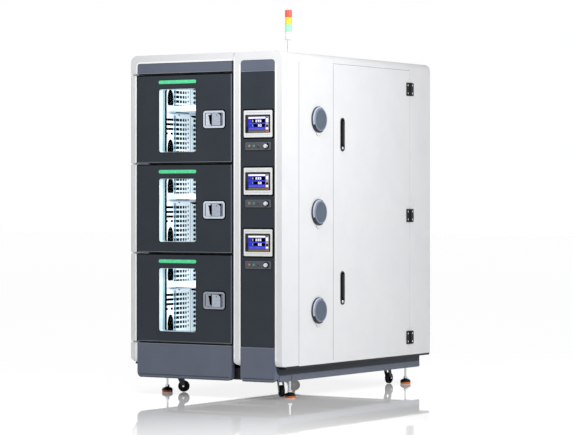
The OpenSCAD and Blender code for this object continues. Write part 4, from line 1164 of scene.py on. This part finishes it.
@dataclass
class Screen:
    """One touch panel with its picture of plain numbers and bars."""

    number: int
    height: float
    top: str = "235"
    low: str = "50"

    def part(self, name: str) -> Piece:
        """Starts a piece named for this screen."""
        return Piece(f"screen_{self.number}_{name}")

    def add_tiles(self) -> None:
        """Adds the flat fields of the picture."""
        # Name, left, lower, right and upper edge from the screen's middle, layer and finish
        tiles = (
            ("field", -61, -34, 48, 38, 0, SCREEN_BLUE),
            ("title", -60, 28, 48, 37, 1, SCREEN_WHITE),
            ("box_top", -38, 5.5, 46, 25, 1, BLACK_AND_PAINTED_SHADE),
            ("box_low", -28, -17, 46, -2, 1, BLACK_AND_PAINTED_SHADE),
            ("rule", -58, 0.5, 46, 3.0, 1, SCREEN_LILAC),
            ("wave", -58, -33, 46, -21, 1, SCREEN_LILAC),
            ("footer", -60, -46, 48, -36, 1, SCREEN_OLIVE),
            ("keys", 50, -45, 69, 38, 0, SCREEN_GREY),
            ("key_white", 52, 10, 67, 28, 1, SCREEN_WHITE),
            ("key_low", 51, -30, 67, -22, 1, SCREEN_WHITE),
            ("key_dark", 54, 31, 62, 36, 1, BLACK_AND_PAINTED_SHADE),
            ("key_ring", 53, -18, 66, -6, 1, BLACK_AND_PAINTED_SHADE),
            ("key_red", 51, -43, 67, -34, 1, SCREEN_RED),
        )
        for name, x0, z0, x1, z1, layer, finish in tiles:
            tile = shifted(box_outline(x0, z0, x1, z1), PANEL_XC, self.height)
            y = -2.75 - 0.12 * layer
            self.part(name).plate(tile, FRONT, y - 0.1, y).done(finish, "white_plastic")

    def add_digits(self, name: str, text: str, x: float, z: float, h: float, finish: Finish) -> None:
        """Adds seven-segment digits.

        Args:
            name: Name of the piece.
            text: The digits.
            x: Left edge from the screen's middle.
            z: Lower edge from the screen's middle.
            h: Height of a digit.
            finish: Finish of the segments.
        """
        lit = {"0": "abcdef", "1": "bc", "2": "abged", "3": "abgcd", "5": "afgcd"}
        piece = self.part(name)
        w, t = 0.78 * h, 0.24 * h
        spots = {
            "a": (0, h - t, w, h),
            "b": (w - t, h / 2, w, h),
            "c": (w - t, 0, w, h / 2),
            "d": (0, 0, w, t),
            "e": (0, 0, t, h / 2),
            "f": (0, h / 2, t, h),
            "g": (0, (h - t) / 2, w, (h + t) / 2),
        }
        for k, digit in enumerate(text):
            left = PANEL_XC + x + k * (w + 0.28 * h)
            for part in lit[digit]:
                segment = shifted(box_outline(*spots[part]), left, self.height + z)
                piece.plate(segment, FRONT, -3.25, -3.12)
        piece.done(finish, "white_plastic")

    def build(self) -> None:
        """Builds the cover glass, the frame's lines and the picture."""
        xc, zc = PANEL_XC, self.height
        # Black ring round the frame: painted shadow in the gap.
        gap = rounded_outline(xc, zc, 196, 160, 9)
        hole = rounded_outline(xc, zc, 179, 143, 5)
        self.part("shadow_gap").plate(gap, FRONT, 1.9, 2.9, 0.0, [hole]).done(BLACK_AND_PAINTED_SHADE, "graphite_paint")
        lines = self.part("frame_lines")
        for dz in (60.5, -59.5):
            lines.plate(rounded_outline(xc, zc + dz, 158, 3.0, 1.4, 3), FRONT, -2.3, -1.9)
        lines.done(GREY_PRINT, "white_plastic")
        cover = rounded_outline(xc - 1, zc, 161, 97, 4)
        self.part("cover_glass").plate(cover, FRONT, -2.6, -1.6, 0.3).done(BLACK_GLASS, "white_plastic")
        self.add_tiles()
        self.add_digits("digits_top", self.top, -14, 9, 12.5, SCREEN_WHITE)
        self.add_digits("digits_low", self.low, 2, -15.5, 12, SCREEN_WHITE)
        self.add_digits("digit_side", "1", -40, 9, 12.5, SCREEN_CREAM)
        self.add_digits("digit_low_side", "1", -40, -15.5, 12, SCREEN_CYAN)


@dataclass
class SwitchPlate:
    """Lamps and selector under one screen."""

    number: int
    height: float
    plate_w: float = 164.0
    plate_h: float = 41.0
    knob_dx: float = 52.0

    def part(self, name: str, body: str = "cabinet") -> Piece:
        """Starts a piece named for this plate."""
        return Piece(f"switch_{self.number}_{name}", body)

    def add_lamps(self) -> None:
        """Adds the three lenses in their rims."""
        rim = [(9.2, -3.9), (9.2, -1.2), (8.6, -0.4), (7.7, -0.2), (7.6, -3.9)]
        lens = [(7.55, -0.8), (7.4, 0.6), (6.4, 1.9), (4.4, 2.8), (2.2, 3.2), (0, 3.3)]
        for dx, tint, finish in (
            (-55.0, "orange", LAMP_ORANGE),
            (-26.0, "green", LAMP_GREEN),
            (1.0, "red", LAMP_RED),
        ):
            at = (PANEL_XC + dx, -3.0, self.height)
            self.part(f"lamp_rim_{tint}").turned(rim, at, Y, 32, -1).done(PLATE_EDGE, "slate_plastic")
            self.part(f"lamp_{tint}").turned(lens, at, Y, 32, -1).done(finish, "slate_plastic")

    def build(self) -> None:
        """Builds the plate's edge and shadow, the lamps, and the knob's collar and mark."""
        xc, zc, w, h = PANEL_XC, self.height, self.plate_w, self.plate_h
        edge = rounded_outline(xc, zc, w - 0.6, h - 0.6, 3)
        hole = rounded_outline(xc, zc, w - 7, h - 7, 2)
        self.part("border").plate(edge, FRONT, 0.5, 1.1, 0.0, [hole]).done(PLATE_EDGE, "slate_plastic")
        # Dark ring set lower and to the right of the plate: painted shadow.
        gap = rounded_outline(xc + 1, zc - 3, w + 8, h + 8, 5)
        hole = rounded_outline(xc, zc, w - 2, h - 2, 3)
        self.part("shadow_gap").plate(gap, FRONT, 2.0, 2.9, 0.0, [hole]).done(BLACK_RUBBER, "graphite_paint")
        self.add_lamps()
        collar = [(18.0, 0.0), (18.0, 0.35), (17.0, 0.45), (14.5, 0.45), (14.5, 0.0)]
        at = (xc + self.knob_dx, 1.0, zc)
        self.part("collar").turned(collar, at, Y, 36, -1).done(BLACK_NYLON, "slate_plastic")
        mark = rounded_outline(xc + self.knob_dx, zc + 3.5, 1.6, 8, 0.7, 3)
        on_knob = self.part("knob_mark", f"knob_{self.number}").plate(mark, FRONT, -14.25, -13.9)
        on_knob.done(GREY_PRINT, "white_plastic")
        dress(WHITE_ABS, f"selector_knob_{self.number}")


@dataclass
class Port:
    """Cable port: light tab below it with painted shade on its lower edge, dark bead of its flange, a collar
    with a painted highlight on its upper side and painted shade on its lower side, and its cap.
    """

    number: int
    height: float
    y: float = 373.0
    tab_drop: float = 66.0

    def band(self, low: float, high: float, start: float, end: float, dz: float = 0.0) -> Outline:
        """Gives an arc-shaped band about the port's centre.

        Args:
            low: Inner radius.
            high: Outer radius.
            start: First angle, counted from the rear.
            end: Last angle.
            dz: Height of the band's centre above the port's.

        Returns:
            The outline.
        """
        y, z = self.y, self.height + dz
        return arc(y, z, high, start, end, 28) + arc(y, z, low, end, start, 28)

    def build(self) -> None:
        """Builds the pieces."""
        slot, name = "slate_plastic", f"port_{self.number}"
        at = (BODY_W, self.y, self.height)
        tab = [(21.5, 0.0), (22.6, 0.6), (22.6, 2.6), (21.6, 3.6), (0, 3.6)]
        below = (BODY_W, self.y, self.height - self.tab_drop)
        Piece(f"{name}_tab").turned(tab, below, X, 40).done(WHITE_ENAMEL, slot)
        # Lower edge of the tab: painted shade.
        edge = self.band(20.5, 24.0, 200, 340, -self.tab_drop)
        Piece(f"{name}_tab_edge_shade").plate(edge, SIDE, BODY_W + 0.3, BODY_W + 2.4).done(SEAM_SHADE, slot)
        bead = [(72.2, 0.2), (72.6, 1.0), (72.6, 5.8), (71.6, 7.6), (69.6, 8.3), (66.0, 8.3), (66.0, 0.2)]
        Piece(f"{name}_flange_bead").turned(bead, at, X, 72).done(PORT_DARK_AND_SHADE, slot)
        # Collar halves: a painted highlight above, painted shade below.
        for tone, start, end, finish in (("bright", 82, 204, PORT_HIGHLIGHT), ("dark", 206, 290, PORT_DARK_AND_SHADE)):
            collar = self.band(63.6, 69.6, start, end)
            half = Piece(f"{name}_collar_{tone}").plate(collar, SIDE, BODY_W + 8.2, BODY_W + 15.5, 0.8)
            half.done(finish, slot)
        body, node = f"cap_{self.number}", f"port_cap_{self.number}"
        face = [(0, 20.6), (53.0, 20.6), (54.4, 19.4), (55.4, 19.0), (55.4, 10.0), (0, 10.0)]
        Piece(f"{node}_face", body).turned(face, at, X, 72).done(SLATE_NYLON, slot, [node])
        rim = [(55.6, 9.0), (55.6, 19.4), (57.0, 20.2), (60.4, 20.2), (62.4, 18.6), (63.0, 16.0)]
        rim += [(63.0, 8.4), (55.6, 8.4)]
        Piece(f"{node}_rim", body).turned(rim, at, X, 72).done(PORT_RIM, slot, [node])


@dataclass
class Tower:
    """Signal tower: flange, pole, base and three ribbed lenses."""

    x: float = 892.0
    y: float = 226.0
    pole: float = 71.0
    base: float = 45.0
    lens: float = 39.5
    ribs: int = 7
    radius: float = 19.5

    def lens_profile(self) -> list[Point2]:
        """Gives a lens's profile with fine outer ribs.

        Returns:
            Radius and height of each point, from the bottom up.
        """
        r = self.radius
        points = [(0, 0.2), (r - 1.2, 0.2)]
        step = (self.lens - 3.0) / self.ribs
        for k in range(self.ribs):
            z = 1.2 + k * step
            points += [(r - 0.5, z), (r, z + 0.4 * step), (r - 0.5, z + 0.9 * step)]
        return points + [(r - 1.2, self.lens - 0.8), (r - 1.6, self.lens - 0.1), (0, self.lens - 0.05)]

    def build(self) -> None:
        """Builds the tower in place of its plain solid."""
        r, b = self.radius, self.base
        slot, node = "white_plastic", ["tower_light"]
        at = (self.x, self.y, BODY_TOP)
        above = (self.x, self.y, BODY_TOP + self.pole)
        flange = [(22.0, 0.0), (22.0, 3.4), (20.6, 5.4), (11.0, 6.4), (9.0, 9.5), (6.4, 10.5), (6.4, 0.2)]
        Piece("tower_flange").turned(flange, at, Z, 48).done(WHITE_ABS, slot, node)
        pole = [(0, 6.0), (6.0, 6.0), (6.0, self.pole), (0, self.pole)]
        Piece("tower_pole").turned(pole, at, Z, 32).done(ZINC, "zinc_steel", node)
        base = [(0, 0), (r - 6, 0), (r - 1.2, 2.2), (r, 5.0), (r, b - 5), (r - 0.8, b - 4.4)]
        base += [(r - 0.8, b - 3), (r, b - 2.4), (r - 0.2, b - 0.3), (0, b - 0.2)]
        Piece("tower_base").turned(base, above, Z, 48).done(WHITE_ABS, slot, node)
        for k, (tint, finish) in enumerate(
            (("green", TOWER_GREEN), ("yellow", TOWER_YELLOW), ("red", TOWER_RED))
        ):
            at = (self.x, self.y, BODY_TOP + self.pole + b + k * self.lens)
            Piece(f"tower_lens_{tint}").turned(self.lens_profile(), at, Z, 48).done(finish, slot, node)


@dataclass
class Foot:
    """Levelling foot: orange ring, dark dome, lock nut and threaded stem."""

    number: int
    x: float
    y: float
    radius: float = 30.5
    stem_r: float = 6.0
    stem_z: tuple[float, float] = (20.0, 156.0)
    thread: float = 1.8
    nut_af: float = 22.5
    nut_turn_deg: float = 17.1887

    def stem_profile(self) -> list[Point2]:
        """Gives the stem's profile, its thread as fine rings.

        Returns:
            Radius and height of each point, from the bottom up.
        """
        z, end = self.stem_z
        profile = [(0, z)]
        while z < end:
            profile += [(self.stem_r - 0.25, z), (self.stem_r, z + self.thread / 2)]
            z += self.thread
        return profile + [(self.stem_r - 1, end + 1.5), (0, end + 2.0)]

    def build(self) -> None:
        """Builds the foot in place of its plain solid."""
        node, body, r = f"levelling_foot_{self.number}", f"foot_{self.number}", self.radius
        at = (self.x, self.y, 0.0)
        ring = [(0, 0), (r - 2.5, 0), (r - 0.6, 1.6), (r, 4.5), (r - 0.3, 8.0), (r - 1.5, 9.4), (0, 9.6)]
        Piece(f"{node}_ring", body).turned(ring, at, Z, 48).done(ORANGE_RUBBER, "wheel_rubber", [node])
        dome = [(0, 9.4), (r - 1.2, 9.6), (r, 11.5), (r - 0.2, 15.0), (r - 2.2, 19.0), (r - 7.5, 23.5)]
        dome += [(r - 14.0, 26.5), (11.0, 28.2), (10.2, 30.0), (0, 30.0)]
        Piece(f"{node}_dome", body).turned(dome, at, Z, 48).done(BLACK_NYLON, "black_plastic", [node])
        nut = hexagon(self.x, self.y, self.nut_af / math.sqrt(3), self.nut_turn_deg)
        Piece(f"{node}_nut", body).plate(nut, TOP, 30.0, 41.0, 1.2).done(SCREW_STEEL, "zinc_steel", [node])
        stem = Piece(f"{node}_stem", body).turned(self.stem_profile(), at, Z, 24)
        stem.done(SCREW_STEEL, "zinc_steel", [node])


@dataclass
class Caster:
    """Swivel caster: treaded wheel with its hub, and the axle's caps on the fork."""

    number: int
    x: float
    y: float
    yaw_deg: float
    trail: float = 18.0
    wheel_r: float = 32.0
    wheel_w: float = 22.0
    axle_z: float = 33.5

    def turn(self, obj: bpy.types.Object) -> None:
        """Turns a mesh made at yaw zero about the swivel's axis.

        Args:
            obj: The mesh's object.
        """
        centre = place(self.x, self.y, 0)
        turned = Matrix.Translation(centre) @ Matrix.Rotation(math.radians(self.yaw_deg), 4, "Z")
        obj.data.transform(turned @ Matrix.Translation(-centre))

    def build(self) -> None:
        """Builds the wheel in place of its plain solid, and dresses the fork."""
        node, body = f"caster_wheel_{self.number}", f"wheel_{self.number}"
        r, w = self.wheel_r, self.wheel_w / 2
        at = (self.x + self.trail, self.y, self.axle_z)
        tread = [(r - 9, -w + 1), (r - 6, -w), (r - 2.4, -w + 0.5), (r - 0.6, -w + 2.6)]
        tread += [(r, -w + 5), (r, w - 5), (r - 0.6, w - 2.6), (r - 2.4, w - 0.5), (r - 6, w), (r - 9, w - 1)]
        tread += [(r - 9.2, 0), (r - 9, -w + 1)]
        rubber = Piece(f"{node}_tread", body).turned(tread, at, Y, 64)
        self.turn(rubber.done(BLACK_RUBBER, "wheel_rubber", [node]))
        near = [(4.1, -w + 0.6), (7, -w + 0.4), (8, -w + 2), (r - 12, -w + 2.6), (r - 8.8, -w + 1.2)]
        hub = [*near, *[(u, -v) for u, v in reversed(near)], near[0]]
        core = Piece(f"{node}_hub", body).turned(hub, at, Y, 48)
        self.turn(core.done(BLACK_NYLON, "black_plastic", [node]))
        caps = Piece(f"{node}_axle_caps", f"caster_{self.number}")
        for side, steps in ((-1, 20), (1, 6)):
            end = (at[0], self.y + side * (w + 4.4), self.axle_z)
            caps.turned([(6.2, 0.0), (6.2, 2.6), (5.0, 3.8), (0, 4.2)], end, Y, steps, side)
        self.turn(caps.done(SCREW_STEEL, "zinc_steel"))
        dress(BLACK_ZINC, f"caster_fork_{self.number}")


@dataclass
class Hinges:
    """White pivot plates of the doors, their strikes, and the service door's black hinges."""

    pivot: tuple[float, float] = (22.0, 22.0)
    wide: float = 117.0
    short: float = 46.0
    service_z: tuple[float, ...] = (1721.0, 987.0, 278.0)
    axis: tuple[float, float] = (998.5, 1395.0)
    node: str = "fixed_hinges"

    def add_pivots(self) -> None:
        """Adds the plates and pins on which the doors turn."""
        for g in range(4):
            z = PLINTH_TOP + DOOR_GAP / 2 + g * PITCH
            plate = box_outline(4, 8, self.short if g in (0, 3) else self.wide, 70)
            piece = Piece(f"pivot_plate_{g + 1}").plate(plate, TOP, z - 2.5, z + 2.5, 0.8)
            low = -22.0 if g > 0 else -2.0
            high = 22.0 if g < 3 else 2.0
            pin = [(0, low), (5.2, low), (6, low + 1), (6, high - 1), (5.2, high), (0, high)]
            piece.turned(pin, (*self.pivot, z), Z, 32).done(WHITE_ENAMEL, "white_steel", [self.node])

    def add_strikes(self) -> None:
        """Adds the plates that the door latches close on."""
        for n in (1, 2, 3):
            at = (DOOR_W - 24, zone_bottom(n) + DOOR_H / 2)
            plate, hole = rounded_outline(*at, 20, 50, 3), rounded_outline(*at, 9, 24, 3)
            strike = Piece(f"latch_strike_{n}").plate(plate, FRONT, 64.0, 70.0, 0.8, [hole])
            strike.done(ZINC, "zinc_steel", [self.node])

    def add_screws(self, name: str, body: str, y: float, z: float) -> None:
        """Adds the two countersunk screws of a hinge leaf.

        Args:
            name: The piece's name.
            body: The body that the leaf is on.
            y: Distance of the screws behind the front plane.
            z: Height of the leaf's middle.
        """
        head = [(5.6, -0.3), (5.6, 0.5), (4.6, 1.3), (2.6, 1.5), (2.4, 0.3), (0, 0.3)]
        screws = Piece(name, body)
        for dz in (-23, 23):
            screws.turned(head, (BODY_W + 5, y, z + dz), X, 24)
        screws.done(SCREW_STEEL, "zinc_steel")

    def add_service_hinges(self) -> None:
        """Adds the fixed leaves and the screws of both leaves."""
        ax, ay = self.axis
        barrel = [(0, -12.4), (5.4, -12.4), (6, -11.6), (6, 11.6), (5.4, 12.4), (0, 12.4)]
        pin = [(0, -38), (2.9, -38), (2.9, 38), (0, 38)]
        for k, z in enumerate(self.service_z, 1):
            name = f"service_hinge_{k}"
            leaf = Piece(f"{name}_fixed")
            leaf.plate(rounded_outline(ay + 23.5, z, 33, 76, 8), SIDE, BODY_W, BODY_W + 5, 1.2)
            leaf.plate(box_outline(ay, z - 12.4, ay + 8, z + 12.4), SIDE, BODY_W + 0.5, BODY_W + 5)
            leaf.turned(barrel, (ax, ay, z), Z, 32).turned(pin, (ax, ay, z), Z, 20)
            leaf.done(BLACK_NYLON, "black_plastic", [self.node])
            self.add_screws(f"{name}_fixed_screws", "cabinet", ay + 26, z)
            self.add_screws(f"{name}_moving_screws", "service_door", ay - 26, z)

    def build(self) -> None:
        """Builds the hinges."""
        self.add_pivots()
        self.add_strikes()
        self.add_service_hinges()


@dataclass
class SwingHandle:
    """Flush handle of the service door: its lock cylinder and the dark line along its grip."""

    number: int
    height: float
    y: float = 630.0
    lock_drop: float = 75.0

    def build(self) -> None:
        """Builds the lock and the line, and dresses the lever."""
        lock = [(8.4, -4), (8.4, 3.6), (7.6, 4.6), (5.4, 4.9), (5.2, 4.0), (1.0, 4.0), (0.8, 2.4), (0, 2.4)]
        at = (BODY_W, self.y, self.height - self.lock_drop)
        Piece(f"handle_{self.number}_lock", "service_door").turned(lock, at, X, 36).done(CHROME, "chromed")
        grip = Piece(f"handle_{self.number}_grip_line", f"handle_{self.number}")
        line = rounded_outline(self.y, self.height - 10, 9, 84, 4.4)
        grip.plate(line, SIDE, BODY_W + 8.9, BODY_W + 9.5, 0.2).done(BLACK_RUBBER, "black_plastic")
        dress(BLACK_NYLON, f"swing_handle_{self.number}")


@dataclass
class Cabinet:
    """Covers, header, plinth, column and machine bay."""

    skirt_y: tuple[float, float] = (14.0, 1586.0)
    seams_y: tuple[float, float] = (173.0, 533.0)
    gland: Point2 = (820.0, 360.0)

    def add_header_lines(self) -> None:
        """Adds painted highlights along the edges of the slate bands and of the plinths."""
        band, plinth = (1.2, 2.4), (-0.7, 0.5)
        lines = Piece("band_edge_highlights")
        for x0, z0, x1, z1, depth in (
            (STRIP_W + 1, BAND_Z + 0.3, DOOR_W - 1, BAND_Z + 2.9, band),
            (FASCIA_X0 + 1, BAND_Z - 5.6, FASCIA_X1 - 1, BAND_Z - 3.2, band),
            (STRIP_W + 0.5, PLINTH_TOP - 3.2, DOOR_W - 0.5, PLINTH_TOP - 0.4, plinth),
            (FASCIA_X0 + 0.5, PLINTH_TOP - 7.0, FASCIA_X1 - 0.5, PLINTH_TOP - 4.4, plinth),
        ):
            lines.plate(box_outline(x0, z0, x1, z1), FRONT, *depth)
        lines.done(EDGE_HIGHLIGHT, "slate_paint")

    def add_skirts(self) -> None:
        """Adds the folded lip, the painted shade under the cover and the joint of both side skirts."""
        y0, y1 = self.skirt_y
        lip = rounded_outline(815, 113, 1543, 32, 10)
        # Dark band under the cover's overhang: painted shade.
        shade = [(y0, 181), (y0 + 2, 160), (y0 + 12, 142), (y0 + 30, 132), (y1, 132), (y1, 181)]
        joint = box_outline(163, 99, 165.5, 128)
        # Name, outline, start and end outwards of the skirt, rounding and finish
        strips = (
            ("lip", lip, -0.4, 3.0, 1.2, SLATE_COAT),
            ("shade", shade, -0.3, 0.7, 0.2, SHADED_SLATE),
            ("joint", joint, 3.1, 3.5, 0.0, BLACK_RUBBER),
        )
        for side, x, out in (("right", BODY_W - STRIP_W, 1), ("left", STRIP_W, -1)):
            for name, outline, start, end, bevel, finish in strips:
                low, high = sorted((x + start * out, x + end * out))
                strip = Piece(f"skirt_{name}_{side}").plate(outline, SIDE, low, high, bevel)
                strip.done(finish, "slate_paint")

    def add_plinth_lines(self) -> None:
        """Adds painted shade lines on the rolled lower edges of both plinths, and painted shade in the seams
        of the right side.
        """
        lines = Piece("plinth_roll_shade_lines")
        for x0, x1 in ((STRIP_W + 16, DOOR_W - 18), (FASCIA_X0 + 14, FASCIA_X1 - 8)):
            for z0, z1 in ((111, 116), (96.3, 100)):
                lines.plate(box_outline(x0, z0, x1, z1), FRONT, -0.4, 0.3, 0.2)
        lines.done(ROLL_SHADE, "slate_paint")
        seams = Piece("side_seam_shades")
        for y in self.seams_y:
            seams.plate(box_outline(y - 1.6, 190, y + 1.6, TRIM_Z - 6), SIDE, BODY_W - 0.2, BODY_W + 0.25)
        seams.done(SEAM_SHADE, "light_paint")

    def add_gland(self) -> None:
        """Adds the supply cable's gland on the rear cover."""
        x, z = self.gland
        y = BODY_D - 2
        cone = [(10.2, 8), (16.6, 8), (16.6, 17), (15.8, 18), (15.8, 22), (13.6, 25.6), (10.2, 26)]
        piece = Piece("supply_gland").plate(hexagon(x, z, 19), FRONT, y + 0.3, y + 9, 1.0)
        piece.turned(cone, (x, y, z), Y, 36).done(BLACK_NYLON, "black_plastic")

    def add_surround_lines(self) -> None:
        """Adds raised beads, whiter as a painted highlight, along the inner edges of the column's legs, and
        the fascia's dark gaps.
        """
        for name, x, out in (("left", FASCIA_X0, -1), ("right", FASCIA_X1, 1)):
            x0, x1 = sorted((x + 0.4 * out, x + 9.0 * out))
            bead = Piece(f"surround_bead_{name}")
            bead.plate(box_outline(x0, 214, x1, TRIM_Z - 22), FRONT, -1.0, 0.6, 0.3)
            bead.done(BEAD_HIGHLIGHT, "light_paint")
            x0, x1 = sorted((x - 0.2 * out, x - 6.0 * out))
            gap = Piece(f"fascia_gap_{name}")
            gap.plate(box_outline(x0, PLINTH_TOP - 3, x1, BAND_Z - 7), FRONT, 1.6, 2.8)
            gap.done(BLACK_RUBBER, "graphite_paint")

    def add_beads(self) -> None:
        """Adds the raised beads along the frame's inner edge, the column's left edge and the toe, whiter than
        the frame as a painted highlight.
        """
        x, z, r = STRIP_W, TRIM_Z, 14.0
        band = [(x, BAND_Z + 1), *arc(x + r, z - r, r, 180, 90, 6), (DOOR_W, z), (DOOR_W, z + 9)]
        band += [*arc(x + r, z - r, r + 9, 90, 180, 6), (x - 9, BAND_Z + 1)]
        column = box_outline(COLUMN_X + 0.4, 214, COLUMN_X + 8, BODY_TOP - 30)
        toe = box_outline(30, 190, 40, PLINTH_TOP - 1)
        for name, outline, bevel in (
            ("header_bead", band, 0.3),
            ("column_edge_bead", column, 0.4),
            ("toe_bead", toe, 0.4),
        ):
            Piece(name).plate(outline, FRONT, -1.0, 0.6, bevel).done(BEAD_HIGHLIGHT, "light_paint")

    def build(self) -> None:
        """Builds the trims and dresses the nodes that stay."""
        dress(LIGHT_COAT, "port_panel", "side_covers", "top_cover", "rear_cover", "column_surround")
        dress(LIGHT_COAT, "service_door")
        dress(BLACK_COAT, "base_frame", "compressors")
        dress(SLATE_COAT, "slate_panels")
        dress(GRAPHITE_COAT, "column_fascia")
        dress(FOAM, "insulated_walls")
        dress(LINER_STEEL, "chamber_liners")
        dress(DUCT_STEEL, "duct_panels")
        dress(MILL_ALUMINIUM, "air_units", "condenser")
        dress(DUCT_WHITE, "shelves")
        dress(GREY_SILICONE, "door_seals")
        dress(WHITE_ABS, "touchscreens")
        dress(SWITCH_GREY, "switch_plates")
        dress(SLATE_NYLON, "port_tubes")
        dress(BOARD_PLASTIC, "electrical_plate")
        dress(BLACK_NYLON, "condenser_fan", "service_door_fittings")
        self.add_header_lines()
        self.add_beads()
        self.add_skirts()
        self.add_plinth_lines()
        self.add_gland()
        self.add_surround_lines()


def main() -> None:
    """Builds the studio and the parts in order."""
    logging.basicConfig(level=logging.INFO, format="%(message)s")
    parts: list[Any] = [Studio(), Cabinet(), Hinges(), Tower()]
    for n, screen_z, port_z in ((1, 1486.0, 1516.0), (2, 1177.0, 1009.0), (3, 846.0, 471.0)):
        parts += [Door(n), Chamber(n), Screen(n, screen_z), SwitchPlate(n, screen_z - 120), Port(n, port_z)]
    parts += [SwingHandle(1, 1440.0), SwingHandle(2, 587.0)]
    # Places of the feet, then places and yaws of the casters
    feet = ((902.0, 225.0), (90.0, 225.0), (902.0, 1504.0), (90.0, 1504.0))
    casters = ((827.0, 248.0, -40), (165.0, 248.0, 25), (827.0, 1422.0, 90), (165.0, 1422.0, 25))
    for k in range(4):
        parts += [Foot(k + 1, *feet[k]), Caster(k + 1, *casters[k])]
    for part in parts:
        log.info("building %s", type(part).__name__)
        part.build()
    bpy.context.view_layer.update()


if __name__ == "__main__":
    main()
